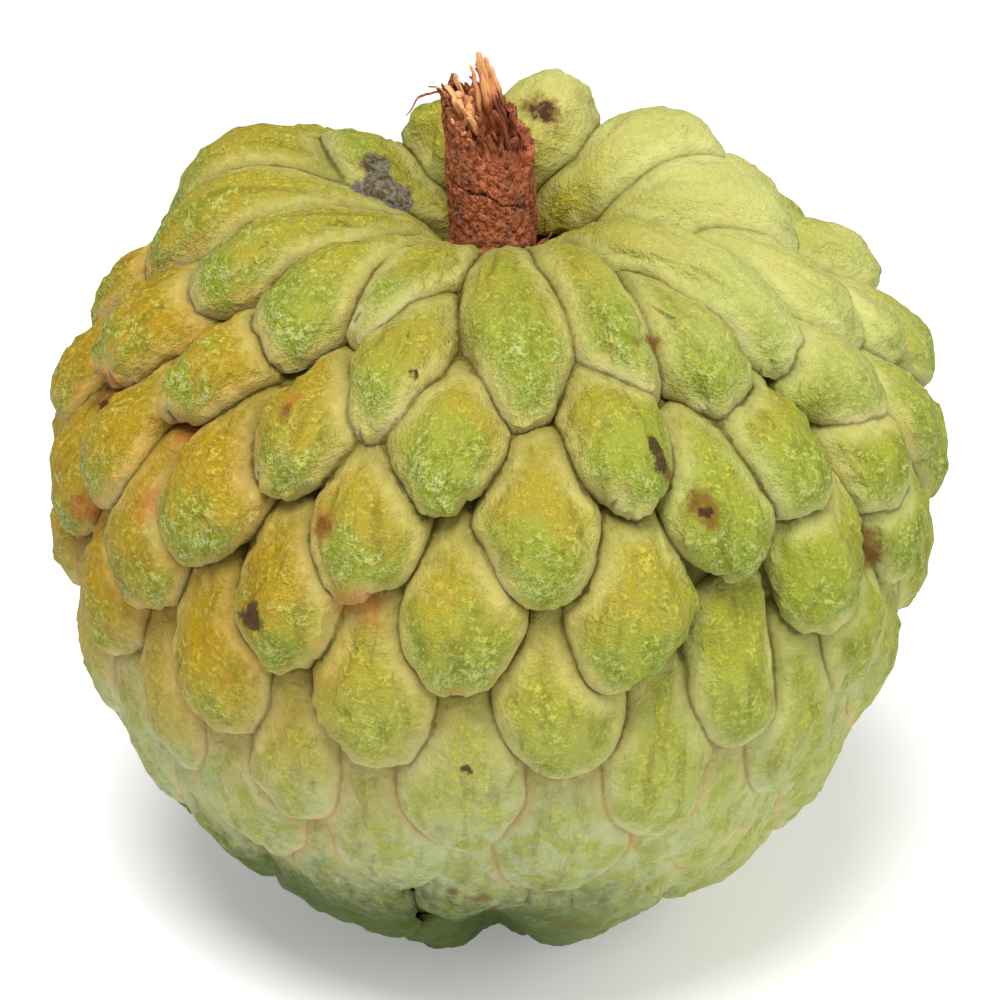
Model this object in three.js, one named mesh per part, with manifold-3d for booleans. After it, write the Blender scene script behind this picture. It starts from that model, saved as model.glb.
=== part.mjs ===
// A custard apple (sugar apple): one fruit of many fused scales, and its short broken stem.
// Millimetres, +Z up. The origin is the middle of the flat spot that the fruit rests on.
// Azimuths are in degrees from the front (-Y), positive towards +X. An "arc" is the distance
// along the fruit's side, measured from the stem's axis over the crown and down.
import * as THREE from 'three';
import { mergeVertices } from 'three/addons/utils/BufferGeometryUtils.js';
import Module from 'manifold-3d';

const wasm = await Module();
wasm.setup();

// ---------------------------------------------------------------- driving dimensions

// The fruit's side, over the crests of its scales.
const FRUIT_RADIUS = 43.0;      // at the widest level
const CROWN_RISE = 29.0;        // from the widest level up to the crown
const BASE_DROP = 47.5;         // from the widest level down to the lowest point
const CROWN_FULLNESS = 2.5;     // power of the superellipse above the widest level
const BASE_FULLNESS = 1.96;     // power of the superellipse below it
const DIMPLE_DEPTH = 3.6;       // the hollow round the stem
const DIMPLE_RADIUS = 9.5;
const REST_CUT = 1.0;           // how much of the lowest point the flat spot takes
const WIDEST_LEVEL = BASE_DROP - REST_CUT;
const SIDE_STEPS = 2400;        // steps of the table that turns an arc into a point
const SLOPE_REACH = 1.5;        // half the stretch of side over which its slope is taken

// The flesh under the scales, and the scar that it rests on.
const FLESH_INSET = 4.4;        // below the crests
const FLESH_RISES = [72, 92];   // arcs between which it rises towards the flatter scales
const FLESH_RISE = 2.2;         // by how much
const FLESH_SIDES = 18;
const FLESH_LEVELS = 12;
const SCAR = { foot: 7.0, top: 9.0, depth: 5.5 };  // radii and depth

// How one scale is shaped. Its own axes: across, along (root to tip) and up.
// Plump scales have the most facets and the flattest, underneath, the fewest.
const SCALE_FACETS = [
  { relief: 3.3, sides: 8, levels: 4 },
  { relief: 2.5, sides: 6, levels: 4 },
  { relief: 0.0, sides: 6, levels: 3 },
];
const LEVEL_CROWDING = 0.27;    // how far the levels crowd towards the tip, where it curves
const SCALE_TAPER = 0.1;        // how much wider the tip half is than the root half
const SCALE_LEAN = 2.8;         // how far the tip stands out beyond the root
const CROWN_LEAN = 0.7;         // the same for the scales round the stem
const LEVEL_SPOT = 0.41;        // place along the scale where its lean is nothing
const WIDEST_SPOT = 0.22;       // place along the scale where it is widest
const TIP_NARROWING = 1.8;      // power of the narrowing towards the tip: lower is pointed
const ROOT_NARROWING = 2.4;     // the same for the root
const TIP_REACH = 3.0;          // how close to the tip the scale keeps its height
const ROOT_REACH = 4.0;         // the same for the root
const SCALE_PLUMPNESS = 0.46;   // power that rounds the crest and steepens the flanks
const HUMP = { spot: 0.3, reach: 0.45, height: 0.22 };  // the highest part, over the relief
const SCALE_ROOTING = 2.0;      // depth of the hidden half over that of the showing one
const CROWN_RELIEF = 4.2;       // height of the crown's scales over the furrows
const NARROWEST_RING = 9.0;     // radius under which scales no longer spread round the axis

// Broad swellings that make the fruit lopsided: azimuth, arc, spread of both, and height.
const SWELLINGS = [
  { azimuth: -113, arc: 25, spreadAzimuth: 38, spreadArc: 10, rise: 4.2 },
  { azimuth: 112, arc: 18, spreadAzimuth: 32, spreadArc: 10, rise: 3.4 },
  { azimuth: 82, arc: 38, spreadAzimuth: 26, spreadArc: 11, rise: -1.5 },
  { azimuth: 180, arc: 27, spreadAzimuth: 42, spreadArc: 13, rise: -3.0 },
  { azimuth: -90, arc: 88, spreadAzimuth: 40, spreadArc: 12, rise: 0.8 },
  { azimuth: 90, arc: 79, spreadAzimuth: 40, spreadArc: 18, rise: -2.4 },
  { azimuth: -1, arc: 104, spreadAzimuth: 7, spreadArc: 10, rise: -3.6 },
  { azimuth: -20, arc: 104, spreadAzimuth: 11, spreadArc: 7, rise: 1.0 },
  { azimuth: 14, arc: 109, spreadAzimuth: 10, spreadArc: 7, rise: 1.0 },
];

// Scales that crowd round the stem, each by hand: azimuth, arc of its tip, length, width, rise.
const CROWN_SCALES = [
  { azimuth: 3.3, tip: 36.0, length: 34, width: 11.0, rise: 0.0 },
  { azimuth: 23.0, tip: 34.7, length: 33, width: 10.0, rise: 0.0 },
  { azimuth: 37.0, tip: 38.0, length: 22, width: 10.5, rise: 0.0 },
  { azimuth: 55.0, tip: 37.0, length: 35, width: 11.5, rise: 0.3 },
  { azimuth: 74.0, tip: 40.5, length: 24, width: 12.5, rise: 0.0 },
  { azimuth: 93.0, tip: 31.0, length: 24, width: 12.0, rise: 0.3 },
  { azimuth: 125.0, tip: 25.0, length: 22, width: 15.0, rise: 2.2 },
  { azimuth: 159.0, tip: 17.0, length: 14.5, width: 12.5, rise: 7.8, relief: 8.0 },
  { azimuth: -157.0, tip: 16.5, length: 14, width: 11.5, rise: 5.2, relief: 6.5 },
  { azimuth: -122.0, tip: 21.0, length: 19, width: 12.5, rise: 1.0 },
  { azimuth: -110.0, tip: 36.0, length: 26, width: 13.5, rise: 0.8 },
  { azimuth: -90.0, tip: 37.0, length: 33, width: 11.5, rise: 0.0 },
  { azimuth: -69.0, tip: 33.5, length: 31, width: 10.5, rise: 0.0 },
  { azimuth: -45.0, tip: 33.5, length: 31, width: 11.5, rise: 0.0 },
  { azimuth: -26.0, tip: 28.0, length: 25, width: 9.5, rise: 0.0 },
  { azimuth: -18.0, tip: 38.5, length: 22, width: 9.5, rise: 0.0 },
];

// Rings of scales below the crown: arc of the tips, count, azimuth of the first, length,
// width, relief and lean. Each ring sits in the gaps of the one above.
const RINGS = [
  { tip: 44.6, count: 16, turn: -6.4, length: 22, width: 11.6, relief: 4.2, lean: SCALE_LEAN },
  { tip: 53.3, count: 16, turn: 5.3, length: 22, width: 11.8, relief: 4.2, lean: SCALE_LEAN },
  { tip: 61.5, count: 16, turn: -5.0, length: 22, width: 12.2, relief: 4.0, lean: SCALE_LEAN },
  { tip: 70.8, count: 16, turn: 6.3, length: 22, width: 12.9, relief: 3.6, lean: 2.4 },
  { tip: 79.5, count: 16, turn: -3.5, length: 22, width: 13.6, relief: 3.0, lean: 1.7 },
  { tip: 88.5, count: 16, turn: 7.8, length: 22, width: 13.8, relief: 2.3, lean: 1.0 },
  { tip: 97.5, count: 16, turn: -3.5, length: 21, width: 12.6, relief: 1.8, lean: 0.6 },
  { tip: 106.5, count: 8, turn: 7.8, length: 20, width: 18.5, relief: 1.8, lean: 0.5 },
  { tip: 115.5, count: 8, turn: -14.7, length: 18, width: 15.0, relief: 1.8, lean: 0.5 },
  { tip: 124.0, count: 4, turn: 7.8, length: 15, width: 13.0, relief: 1.8, lean: 0.5 },
];

// How far the scales of a ring stray at random: turn as a share of the step, length and width
// as shares, and the rest in millimetres; the bend draws both ends sideways.
const STRAY = { turn: 0.07, tip: 0.7, length: 0.05, width: 0.07, rise: 0.4, bend: 1.3 };
const SEED = 7;
const NUMBERS_PER_RING = 40;    // keeps the random draws of one ring apart from the next

// The shorter scales that fill the crown behind the stem, by the same rule as the rings.
const BACK_CROWN = { tip: 36.5, count: 6, turn: 122.0, step: 21.0, length: 22, width: 12.5 };

// Single scales that grew out of place: which ring and scale, how far turned and how far down.
const MISPLACED = [
  { ring: 0, place: 14, turn: 0, drop: -3.2 },
  { ring: 0, place: 2, turn: 1.5, drop: 4.4 },
  { ring: 1, place: 2, turn: 8.0, drop: 0 },
  { ring: 2, place: 2, turn: 4.0, drop: 0.5 },
];

// The stem stub and its torn end; heights are above the flat spot.
const STEM_RADIUS = 4.0;
const STEM_FOOT = 65.5;
const STEM_RIM_HEIGHT = 83.2;   // mean height of the torn bark edge
const STEM_STRAIGHT = 71.5;     // height up to which it stands straight
const STEM_SHIFT = -0.8;        // sideways place of the foot
const STEM_LEAN = -0.03;        // sideways drift for each millimetre of height
const STEM_FACETS = { sides: 14, levels: 7 };
const BARK_ROUGHNESS = 0.22;    // how far the bark swells and sinks
const CUP_RADIUS = 2.9;         // the hollow in the bark's torn end that the wood fills
const CUP_DEPTH = 3.2;
const PLUG_SINK = 0.8;          // how far the solid wood stays below the bark's mean edge
const GAP = 0.3;                // clearance between pieces that meet

// The torn bark edge: azimuth of each peak or dip, and its height over the mean.
const BARK_EDGE = [
  { azimuth: -90, rise: 0.9, spread: 45 },
  { azimuth: 0, rise: -0.6, spread: 35 },
  { azimuth: 75, rise: -2.6, spread: 45 },
  { azimuth: 150, rise: 2.6, spread: 40 },
];

// Splinters of the torn wood: azimuth and distance of the root, length, width, and how far
// the tip leans sideways and towards the front.
const SPLINTERS = [
  { azimuth: 110, out: 0.5, length: 7.3, width: 2.4, sideways: -1.7, forward: 0.3 },
  { azimuth: -140, out: 0.8, length: 4.9, width: 1.9, sideways: -1.0, forward: 0.1 },
  { azimuth: -90, out: 1.3, length: 3.5, width: 1.8, sideways: -1.9, forward: 0.2 },
  { azimuth: -55, out: 1.5, length: 3.2, width: 1.6, sideways: -1.5, forward: 0.6 },
  { azimuth: -10, out: 1.3, length: 3.0, width: 1.8, sideways: -0.5, forward: 0.6 },
  { azimuth: 40, out: 1.3, length: 3.4, width: 1.7, sideways: 0.1, forward: 0.4 },
  { azimuth: 90, out: 1.5, length: 4.1, width: 1.6, sideways: -0.2, forward: 0.0 },
  { azimuth: 160, out: 1.3, length: 4.5, width: 1.8, sideways: -0.4, forward: -0.3 },
];
const SPLINTER_SIDES = 4;
const SPLINTER_TIP = 0.25;      // tip width over root width
const SPLINTER_SINK = 0.8;      // height of the roots over the plug's underside
const SPLINTER_BEND = 1.5;      // power by which the lean grows towards the tip

// The dry fibre that curls off the bark's edge.
const FIBRE = {
  azimuth: -80,
  start: 3.5,                   // distance of its root from the stem's axis
  sink: 0.1,                    // depth of its root under the bark's edge
  thickness: 0.55,
  tip: 0.3,                     // thickness of its free end
  reach: 3.3,
  lift: 0.7,
  drop: 2.6,
};
const FIBRE_FACETS = { sides: 5, levels: 6 };

const COLOURS = {
  fruit: 0xa9b35c,
  stem: 0x8a4f38,
  torn_wood: 0xd98f5e,
};

// ---------------------------------------------------------------- small helpers

const radians = THREE.MathUtils.degToRad;

function jitter(number, channel) {
  const wave = Math.sin(number * 127.1 + channel * 311.7 + SEED) * 43758.5453;
  return 2 * (wave - Math.floor(wave)) - 1;
}

function toSolid(geometry) {
  const bare = geometry.clone();
  bare.deleteAttribute('normal');
  bare.deleteAttribute('uv');
  const merged = mergeVertices(bare, 1e-5);
  return new wasm.Manifold(new wasm.Mesh({
    numProp: 3,
    vertProperties: Float32Array.from(merged.attributes.position.array),
    triVerts: Uint32Array.from(merged.index.array),
  }));
}

function toGeometry(solid) {
  const mesh = solid.getMesh();
  const geometry = new THREE.BufferGeometry();
  geometry.setAttribute('position', new THREE.BufferAttribute(mesh.vertProperties, 3));
  geometry.setIndex(new THREE.BufferAttribute(mesh.triVerts, 1));
  return geometry;
}

function moveVertices(geometry, place) {
  const positions = geometry.attributes.position;
  const point = new THREE.Vector3();
  for (let i = 0; i < positions.count; i += 1) {
    point.fromBufferAttribute(positions, i);
    const moved = place(point);
    positions.setXYZ(i, moved.x, moved.y, moved.z);
  }
  return geometry;
}

function roundBar(radius, foot, top, sides, middle) {
  const bar = new THREE.CylinderGeometry(radius, radius, top - foot, sides);
  bar.rotateX(Math.PI / 2);
  bar.translate(middle, 0, (foot + top) / 2);
  return toSolid(bar);
}

// ---------------------------------------------------------------- the fruit's side

function sidePoint(angle) {
  const across = Math.sin(angle);
  const up = Math.cos(angle);
  if (up >= 0) {
    const radius = FRUIT_RADIUS * across ** (2 / CROWN_FULLNESS);
    const dimple = DIMPLE_DEPTH * Math.exp(-((radius / DIMPLE_RADIUS) ** 2));
    return new THREE.Vector2(radius, CROWN_RISE * up ** (2 / CROWN_FULLNESS) - dimple);
  }
  const radius = FRUIT_RADIUS * across ** (2 / BASE_FULLNESS);
  return new THREE.Vector2(radius, -BASE_DROP * (-up) ** (2 / BASE_FULLNESS));
}

function makeSide() {
  const side = [{ arc: 0, point: sidePoint(0) }];
  for (let i = 1; i <= SIDE_STEPS; i += 1) {
    const point = sidePoint((Math.PI * i) / SIDE_STEPS);
    point.x = Math.max(point.x, 0);
    const last = side[i - 1];
    side.push({ arc: last.arc + point.distanceTo(last.point), point });
  }
  return side;
}

const SIDE = makeSide();
const SIDE_LENGTH = SIDE[SIDE_STEPS].arc;

function sideAt(arc) {
  const wanted = THREE.MathUtils.clamp(arc, 0, SIDE_LENGTH);
  let low = 0;
  let high = SIDE_STEPS;
  while (high - low > 1) {
    const middle = (low + high) >> 1;
    if (SIDE[middle].arc < wanted) low = middle;
    else high = middle;
  }
  const step = SIDE[high].arc - SIDE[low].arc;
  const share = step > 0 ? (wanted - SIDE[low].arc) / step : 0;
  return new THREE.Vector2().lerpVectors(SIDE[low].point, SIDE[high].point, share);
}

function outwardAt(arc) {
  const before = sideAt(arc - SLOPE_REACH);
  const after = sideAt(arc + SLOPE_REACH);
  const along = after.sub(before).normalize();
  return new THREE.Vector2(-along.y, along.x);
}

function swelling(arc, azimuth) {
  let rise = 0;
  for (const swell of SWELLINGS) {
    const turn = ((azimuth - swell.azimuth + 540) % 360) - 180;
    const away = (turn / swell.spreadAzimuth) ** 2 + ((arc - swell.arc) / swell.spreadArc) ** 2;
    rise += swell.rise * Math.exp(-away);
  }
  return rise;
}

// The point at a height above the side, in the fruit's frame with the flat spot at z = 0.
function overSide(arc, azimuth, height) {
  const point = sideAt(arc);
  const outward = outwardAt(arc);
  const full = height + swelling(arc, azimuth);
  const radius = Math.max(point.x + outward.x * full, 0);
  return new THREE.Vector3(
    radius * Math.sin(radians(azimuth)),
    -radius * Math.cos(radians(azimuth)),
    WIDEST_LEVEL + point.y + outward.y * full,
  );
}

// ---------------------------------------------------------------- the scales

function ringScale(ring, row, place) {
  const number = (row + 1) * NUMBERS_PER_RING + place;
  const same = (scale) => scale.ring === row && scale.place === place;
  const shift = MISPLACED.find(same) ?? { turn: 0, drop: 0 };
  const step = 360 / ring.count;
  return {
    azimuth: ring.turn + step * (place + STRAY.turn * jitter(number, 1)) + shift.turn,
    tip: ring.tip + STRAY.tip * jitter(number, 2) + shift.drop,
    length: ring.length * (1 + STRAY.length * jitter(number, 3)),
    width: ring.width * (1 + STRAY.width * jitter(number, 4)),
    rise: STRAY.rise * jitter(number, 5),
    relief: ring.relief,
    lean: ring.lean,
    bend: STRAY.bend * jitter(number, 6),
  };
}

function ringScales() {
  const places = (ring) => Array.from({ length: ring.count }, (unused, place) => place);
  return RINGS.flatMap((ring, row) => places(ring).map((place) => ringScale(ring, row, place)));
}

function backCrownScales() {
  const { tip, count, turn, step, length, width } = BACK_CROWN;
  return Array.from({ length: count }, (unused, place) => ({
    azimuth: turn + step * (place + STRAY.turn * jitter(place, 7)),
    tip: tip + STRAY.tip * jitter(place, 8),
    length,
    width: width * (1 + STRAY.width * jitter(place, 9)),
    rise: STRAY.rise * jitter(place, 10),
    bend: STRAY.bend * jitter(place, 11),
  }));
}

function allScales() {
  const kind = { relief: CROWN_RELIEF, lean: CROWN_LEAN, bend: 0 };
  const crown = [...CROWN_SCALES, ...backCrownScales()].map((scale) => ({ ...kind, ...scale }));
  return [...crown, ...ringScales()];
}

// Half the width of a scale at a place along it, over that at its widest.
function outlineAt(along) {
  const past = along - WIDEST_SPOT;
  const reach = 1 - Math.sign(past) * WIDEST_SPOT;
  const power = past > 0 ? TIP_NARROWING : ROOT_NARROWING;
  return Math.sqrt(Math.max(1 - (Math.abs(past) / reach) ** power, 0));
}

// Height of a scale's crest over its rim, over the relief; the share is 1 on its middle line.
function domeAt(along, share) {
  const ends = 1 - Math.abs(along) ** (along > 0 ? TIP_REACH : ROOT_REACH);
  const hump = HUMP.height * Math.exp(-(((along - HUMP.spot) / HUMP.reach) ** 2));
  return (share * Math.max(ends, 0)) ** SCALE_PLUMPNESS + hump * share;
}

function scaleSolid(scale) {
  const halfLength = scale.length / 2;
  const halfWidth = scale.width / 2;
  const middle = scale.tip - halfLength;
  const { sides, levels } = SCALE_FACETS.find((facets) => scale.relief >= facets.relief);
  const ball = new THREE.SphereGeometry(1, sides, levels);
  moveVertices(ball, ({ x, y, z }) => {
    const round = Math.hypot(x, z);
    const along = y + LEVEL_CROWDING * round ** 2;
    const turnX = round > 1e-6 ? x / round : 0;
    const turnZ = round > 1e-6 ? z / round : 0;
    const arc = middle + halfLength * along;
    const spread = halfWidth * outlineAt(along) * (1 + SCALE_TAPER * along);
    const across = scale.bend * along ** 2 - turnX * spread;
    const crest = scale.rise + scale.lean * (along - LEVEL_SPOT);
    const bulge = domeAt(along, turnZ ** 2);
    const dome = turnZ > 0 ? bulge : -SCALE_ROOTING * bulge;
    const ringRadius = Math.max(sideAt(arc).x, NARROWEST_RING);
    const azimuth = scale.azimuth + THREE.MathUtils.radToDeg(across / ringRadius);
    return overSide(arc, azimuth, crest + scale.relief * (dome - 1));
  });
  return toSolid(ball);
}

function fleshSolid() {
  const ball = new THREE.SphereGeometry(1, FLESH_SIDES, FLESH_LEVELS);
  ball.rotateX(Math.PI / 2);
  moveVertices(ball, ({ x, y, z }) => {
    const arc = (SIDE_LENGTH * Math.acos(THREE.MathUtils.clamp(z, -1, 1))) / Math.PI;
    const azimuth = THREE.MathUtils.radToDeg(Math.atan2(x, -y));
    const filled = FLESH_RISE * THREE.MathUtils.smoothstep(arc, ...FLESH_RISES);
    return overSide(arc, azimuth, filled - FLESH_INSET);
  });
  return toSolid(ball);
}

function scarSolid() {
  const { foot, top, depth } = SCAR;
  const scar = new THREE.CylinderGeometry(top, foot, depth, FLESH_SIDES);
  scar.rotateX(Math.PI / 2);
  scar.translate(0, 0, depth / 2);
  return toSolid(scar);
}

// Only the outer skin is kept: pockets that the scales close off between them are flesh.
function outerSkin(solid) {
  const skins = solid.decompose();
  return skins.reduce((best, skin) => (skin.volume() > best.volume() ? skin : best));
}

function fruitGeometry() {
  const scales = allScales().map(scaleSolid);
  const whole = wasm.Manifold.union([fleshSolid(), scarSolid(), ...scales]);
  const below = new THREE.BoxGeometry(3 * FRUIT_RADIUS, 3 * FRUIT_RADIUS, BASE_DROP);
  below.translate(0, 0, -BASE_DROP / 2);
  const socket = roundBar(
    STEM_RADIUS + BARK_ROUGHNESS + GAP,
    STEM_FOOT - GAP,
    STEM_RIM_HEIGHT,
    STEM_FACETS.sides,
    STEM_SHIFT,
  );
  return toGeometry(outerSkin(whole).subtract(toSolid(below)).subtract(socket));
}

// ---------------------------------------------------------------- the stem

function stemAxis(height) {
  return STEM_SHIFT + STEM_LEAN * Math.max(height - STEM_STRAIGHT, 0);
}

function barkEdge(azimuth) {
  let rise = 0;
  for (const peak of BARK_EDGE) {
    const turn = ((azimuth - peak.azimuth + 540) % 360) - 180;
    rise += peak.rise * Math.exp(-((turn / peak.spread) ** 2));
  }
  return STEM_RIM_HEIGHT + rise;
}

function barkSolid() {
  const { sides, levels } = STEM_FACETS;
  const tube = new THREE.CylinderGeometry(STEM_RADIUS, STEM_RADIUS, 1, sides, levels);
  tube.rotateX(Math.PI / 2);
  moveVertices(tube, ({ x, y, z }) => {
    const azimuth = THREE.MathUtils.radToDeg(Math.atan2(x, -y));
    const onAxis = Math.hypot(x, y) < STEM_RADIUS / 2;
    const top = onAxis ? STEM_RIM_HEIGHT : barkEdge(azimuth);
    const share = z + 0.5;
    const height = STEM_FOOT + share * (top - STEM_FOOT);
    const number = Math.round(azimuth) * levels + Math.round(share * levels);
    const swell = 1 + (BARK_ROUGHNESS / STEM_RADIUS) * jitter(number, 6);
    return new THREE.Vector3(stemAxis(height) + x * swell, y * swell, height);
  });
  return toSolid(tube);
}

function fibreSolid() {
  const { azimuth, start, thickness, tip, reach, drop, lift, sink } = FIBRE;
  const strand = new THREE.CylinderGeometry(1, 1, 1, FIBRE_FACETS.sides, FIBRE_FACETS.levels);
  const outX = Math.sin(radians(azimuth));
  const outY = -Math.cos(radians(azimuth));
  const foot = barkEdge(azimuth) - sink;
  moveVertices(strand, ({ x, y, z }) => {
    const share = y + 0.5;
    const thick = THREE.MathUtils.lerp(thickness, tip, share) / 2;
    const out = start + reach * share;
    const rise = lift * Math.sin(Math.PI * Math.min(share * 2, 1)) - drop * share ** 2;
    return new THREE.Vector3(
      stemAxis(foot) + out * outX - z * thick * outY,
      out * outY + z * thick * outX,
      foot + rise + x * thick,
    );
  });
  return toSolid(strand);
}

function stemGeometry() {
  const cup = roundBar(
    CUP_RADIUS,
    STEM_RIM_HEIGHT - CUP_DEPTH,
    STEM_RIM_HEIGHT + CUP_DEPTH,
    STEM_FACETS.sides,
    stemAxis(STEM_RIM_HEIGHT),
  );
  return toGeometry(barkSolid().subtract(cup).add(fibreSolid()));
}

// ---------------------------------------------------------------- the torn wood

function splinterSolid(splinter) {
  const { azimuth, out, length, width, sideways, forward } = splinter;
  const root = width / 2;
  const tip = SPLINTER_TIP * root;
  const shard = new THREE.CylinderGeometry(tip, root, length, SPLINTER_SIDES, 2);
  shard.rotateX(Math.PI / 2);
  const foot = STEM_RIM_HEIGHT - CUP_DEPTH + GAP + SPLINTER_SINK;
  const rootX = stemAxis(STEM_RIM_HEIGHT) + out * Math.sin(radians(azimuth));
  const rootY = -out * Math.cos(radians(azimuth));
  moveVertices(shard, ({ x, y, z }) => {
    const share = THREE.MathUtils.clamp(z / length + 0.5, 0, 1);
    const bend = share ** SPLINTER_BEND;
    return new THREE.Vector3(
      rootX + x + sideways * bend,
      rootY + y - forward * bend,
      foot + share * length,
    );
  });
  return toSolid(shard);
}

function woodGeometry() {
  const plug = roundBar(
    CUP_RADIUS - GAP,
    STEM_RIM_HEIGHT - CUP_DEPTH + GAP,
    STEM_RIM_HEIGHT - PLUG_SINK,
    STEM_FACETS.sides,
    stemAxis(STEM_RIM_HEIGHT),
  );
  return toGeometry(wasm.Manifold.union([plug, ...SPLINTERS.map(splinterSolid)]));
}

// ---------------------------------------------------------------- the model

function piece(name, geometry, roughness) {
  const material = new THREE.MeshStandardMaterial({
    color: COLOURS[name],
    roughness,
    metalness: 0,
  });
  const mesh = new THREE.Mesh(geometry, material);
  mesh.name = name;
  return mesh;
}

const group = new THREE.Group();
group.add(piece('fruit', fruitGeometry(), 0.75));
group.add(piece('stem', stemGeometry(), 0.9));
group.add(piece('torn_wood', woodGeometry(), 0.85));

export default group;
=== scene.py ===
"""A custard apple on a pale studio floor, laid out as an add-on whose operators make each piece."""
import math
from types import SimpleNamespace

import bpy
import numpy as np
from bpy.props import FloatProperty, FloatVectorProperty, PointerProperty
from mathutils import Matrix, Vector


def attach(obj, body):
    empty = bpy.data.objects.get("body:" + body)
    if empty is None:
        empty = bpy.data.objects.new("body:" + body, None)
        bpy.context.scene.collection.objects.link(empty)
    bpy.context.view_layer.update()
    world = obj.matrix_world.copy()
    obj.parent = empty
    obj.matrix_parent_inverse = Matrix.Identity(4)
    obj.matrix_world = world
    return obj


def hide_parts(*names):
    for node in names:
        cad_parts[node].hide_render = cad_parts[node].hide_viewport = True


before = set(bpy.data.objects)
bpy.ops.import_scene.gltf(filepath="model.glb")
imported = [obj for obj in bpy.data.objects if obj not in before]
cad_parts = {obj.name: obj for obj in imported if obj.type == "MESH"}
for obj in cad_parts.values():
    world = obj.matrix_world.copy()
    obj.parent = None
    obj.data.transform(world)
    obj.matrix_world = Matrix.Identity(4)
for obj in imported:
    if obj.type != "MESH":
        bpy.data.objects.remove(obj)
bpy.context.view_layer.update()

bl_info = {
    "name": "Custard apple",
    "version": (1, 0, 0),
    "blender": (4, 5, 0),
    "location": "View3D > Sidebar > Custard apple",
    "description": "Builds a custard apple of fused scales with its broken stem, and a studio",
    "category": "Add Mesh",
}

# Lengths are in millimetres and angles in degrees, until a piece is done and is scaled to
# metres. Azimuths run from the front (-Y) towards +X. An arc is the distance along the
# fruit's side, from the stem's axis over the crown and down.
MM = 0.001
BODY = "root"


def table(columns, *rows):
    """One dictionary for each row of values; a short row leaves out the last columns."""
    names = columns.split()
    return [dict(zip(names, row)) for row in rows]


# ---------------------------------------------------------------- the scales' rule

BASE_DROP = 47.5                # from the widest level down to the side's lowest point
REST_CUT = 1.0                  # how much of that the flat spot takes

# Broad swellings that make the fruit lopsided.
SWELLINGS = table(
    "azimuth arc spread_azimuth spread_arc rise",
    (-113, 25, 38, 10, 4.2),
    (112, 18, 32, 10, 3.4),
    (82, 38, 26, 11, -1.5),
    (180, 27, 42, 13, -3.0),
    (-90, 88, 40, 12, 0.8),
    (90, 79, 40, 18, -2.4),
    (-1, 104, 7, 10, -3.6),
    (-20, 104, 11, 7, 1.0),
    (14, 109, 10, 7, 1.0),
)

# Scales that crowd round the stem, each given one by one.
CROWN_SCALES = table(
    "azimuth tip length width rise relief",
    (3.3, 36.0, 34.0, 11.0, 0.0),
    (23.0, 34.7, 33.0, 10.0, 0.0),
    (37.0, 38.0, 22.0, 10.5, 0.0),
    (55.0, 37.0, 35.0, 11.5, 0.3),
    (74.0, 40.5, 24.0, 12.5, 0.0),
    (93.0, 31.0, 24.0, 12.0, 0.3),
    (125.0, 25.0, 22.0, 15.0, 2.2),
    (159.0, 17.0, 14.5, 12.5, 7.8, 8.0),
    (-157.0, 16.5, 14.0, 11.5, 5.2, 6.5),
    (-122.0, 21.0, 19.0, 12.5, 1.0),
    (-110.0, 36.0, 26.0, 13.5, 0.8),
    (-90.0, 37.0, 33.0, 11.5, 0.0),
    (-69.0, 33.5, 31.0, 10.5, 0.0),
    (-45.0, 33.5, 31.0, 11.5, 0.0),
    (-26.0, 28.0, 25.0, 9.5, 0.0),
    (-18.0, 38.5, 22.0, 9.5, 0.0),
)
BACK_CROWN = {"tip": 36.5, "count": 6, "turn": 122.0, "step": 21.0, "length": 22, "width": 12.5}

# Rings of scales below the crown, each in the gaps of the one above: arc of the tips, count,
# azimuth of the first, and the size of each.
RINGS = table(
    "tip count turn length width relief lean",
    (44.6, 16, -6.4, 22.0, 11.6, 4.2),
    (53.3, 16, 5.3, 22.0, 11.8, 4.2),
    (61.5, 16, -5.0, 22.0, 12.2, 4.0),
    (70.8, 16, 6.3, 22.0, 12.9, 3.6, 2.4),
    (79.5, 16, -3.5, 22.0, 13.6, 3.0, 1.7),
    (88.5, 16, 7.8, 22.0, 13.8, 2.3, 1.0),
    (97.5, 16, -3.5, 21.0, 12.6, 1.8, 0.6),
    (106.5, 8, 7.8, 20.0, 18.5, 1.8, 0.5),
    (115.5, 8, -14.7, 18.0, 15.0, 1.8, 0.5),
    (124.0, 4, 7.8, 15.0, 13.0, 1.8, 0.5),
)

# Single scales that grew out of place: how far turned and how far down.
MISPLACED = {
    (0, 14): {"turn": 0.0, "drop": -3.2},
    (0, 2): {"turn": 1.5, "drop": 4.4},
    (1, 2): {"turn": 8.0, "drop": 0.0},
    (2, 2): {"turn": 4.0, "drop": 0.5},
}
IN_PLACE = {"turn": 0.0, "drop": 0.0}
CROWN_KIND = {"relief": 4.2, "taper": 0.1, "lean": 0.7, "bend": 0.0}
RING_KIND = {"taper": 0.1, "lean": 2.8}

# How far the scales stray at random: turn as a share of the step, tip and rise in
# millimetres, length and width as shares.
STRAY = {"turn": 0.07, "tip": 0.7, "length": 0.05, "width": 0.07, "rise": 0.4, "bend": 1.3}
SEED = 7
NUMBERS_PER_RING = 40           # keeps the random draws of one ring apart from the next

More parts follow.
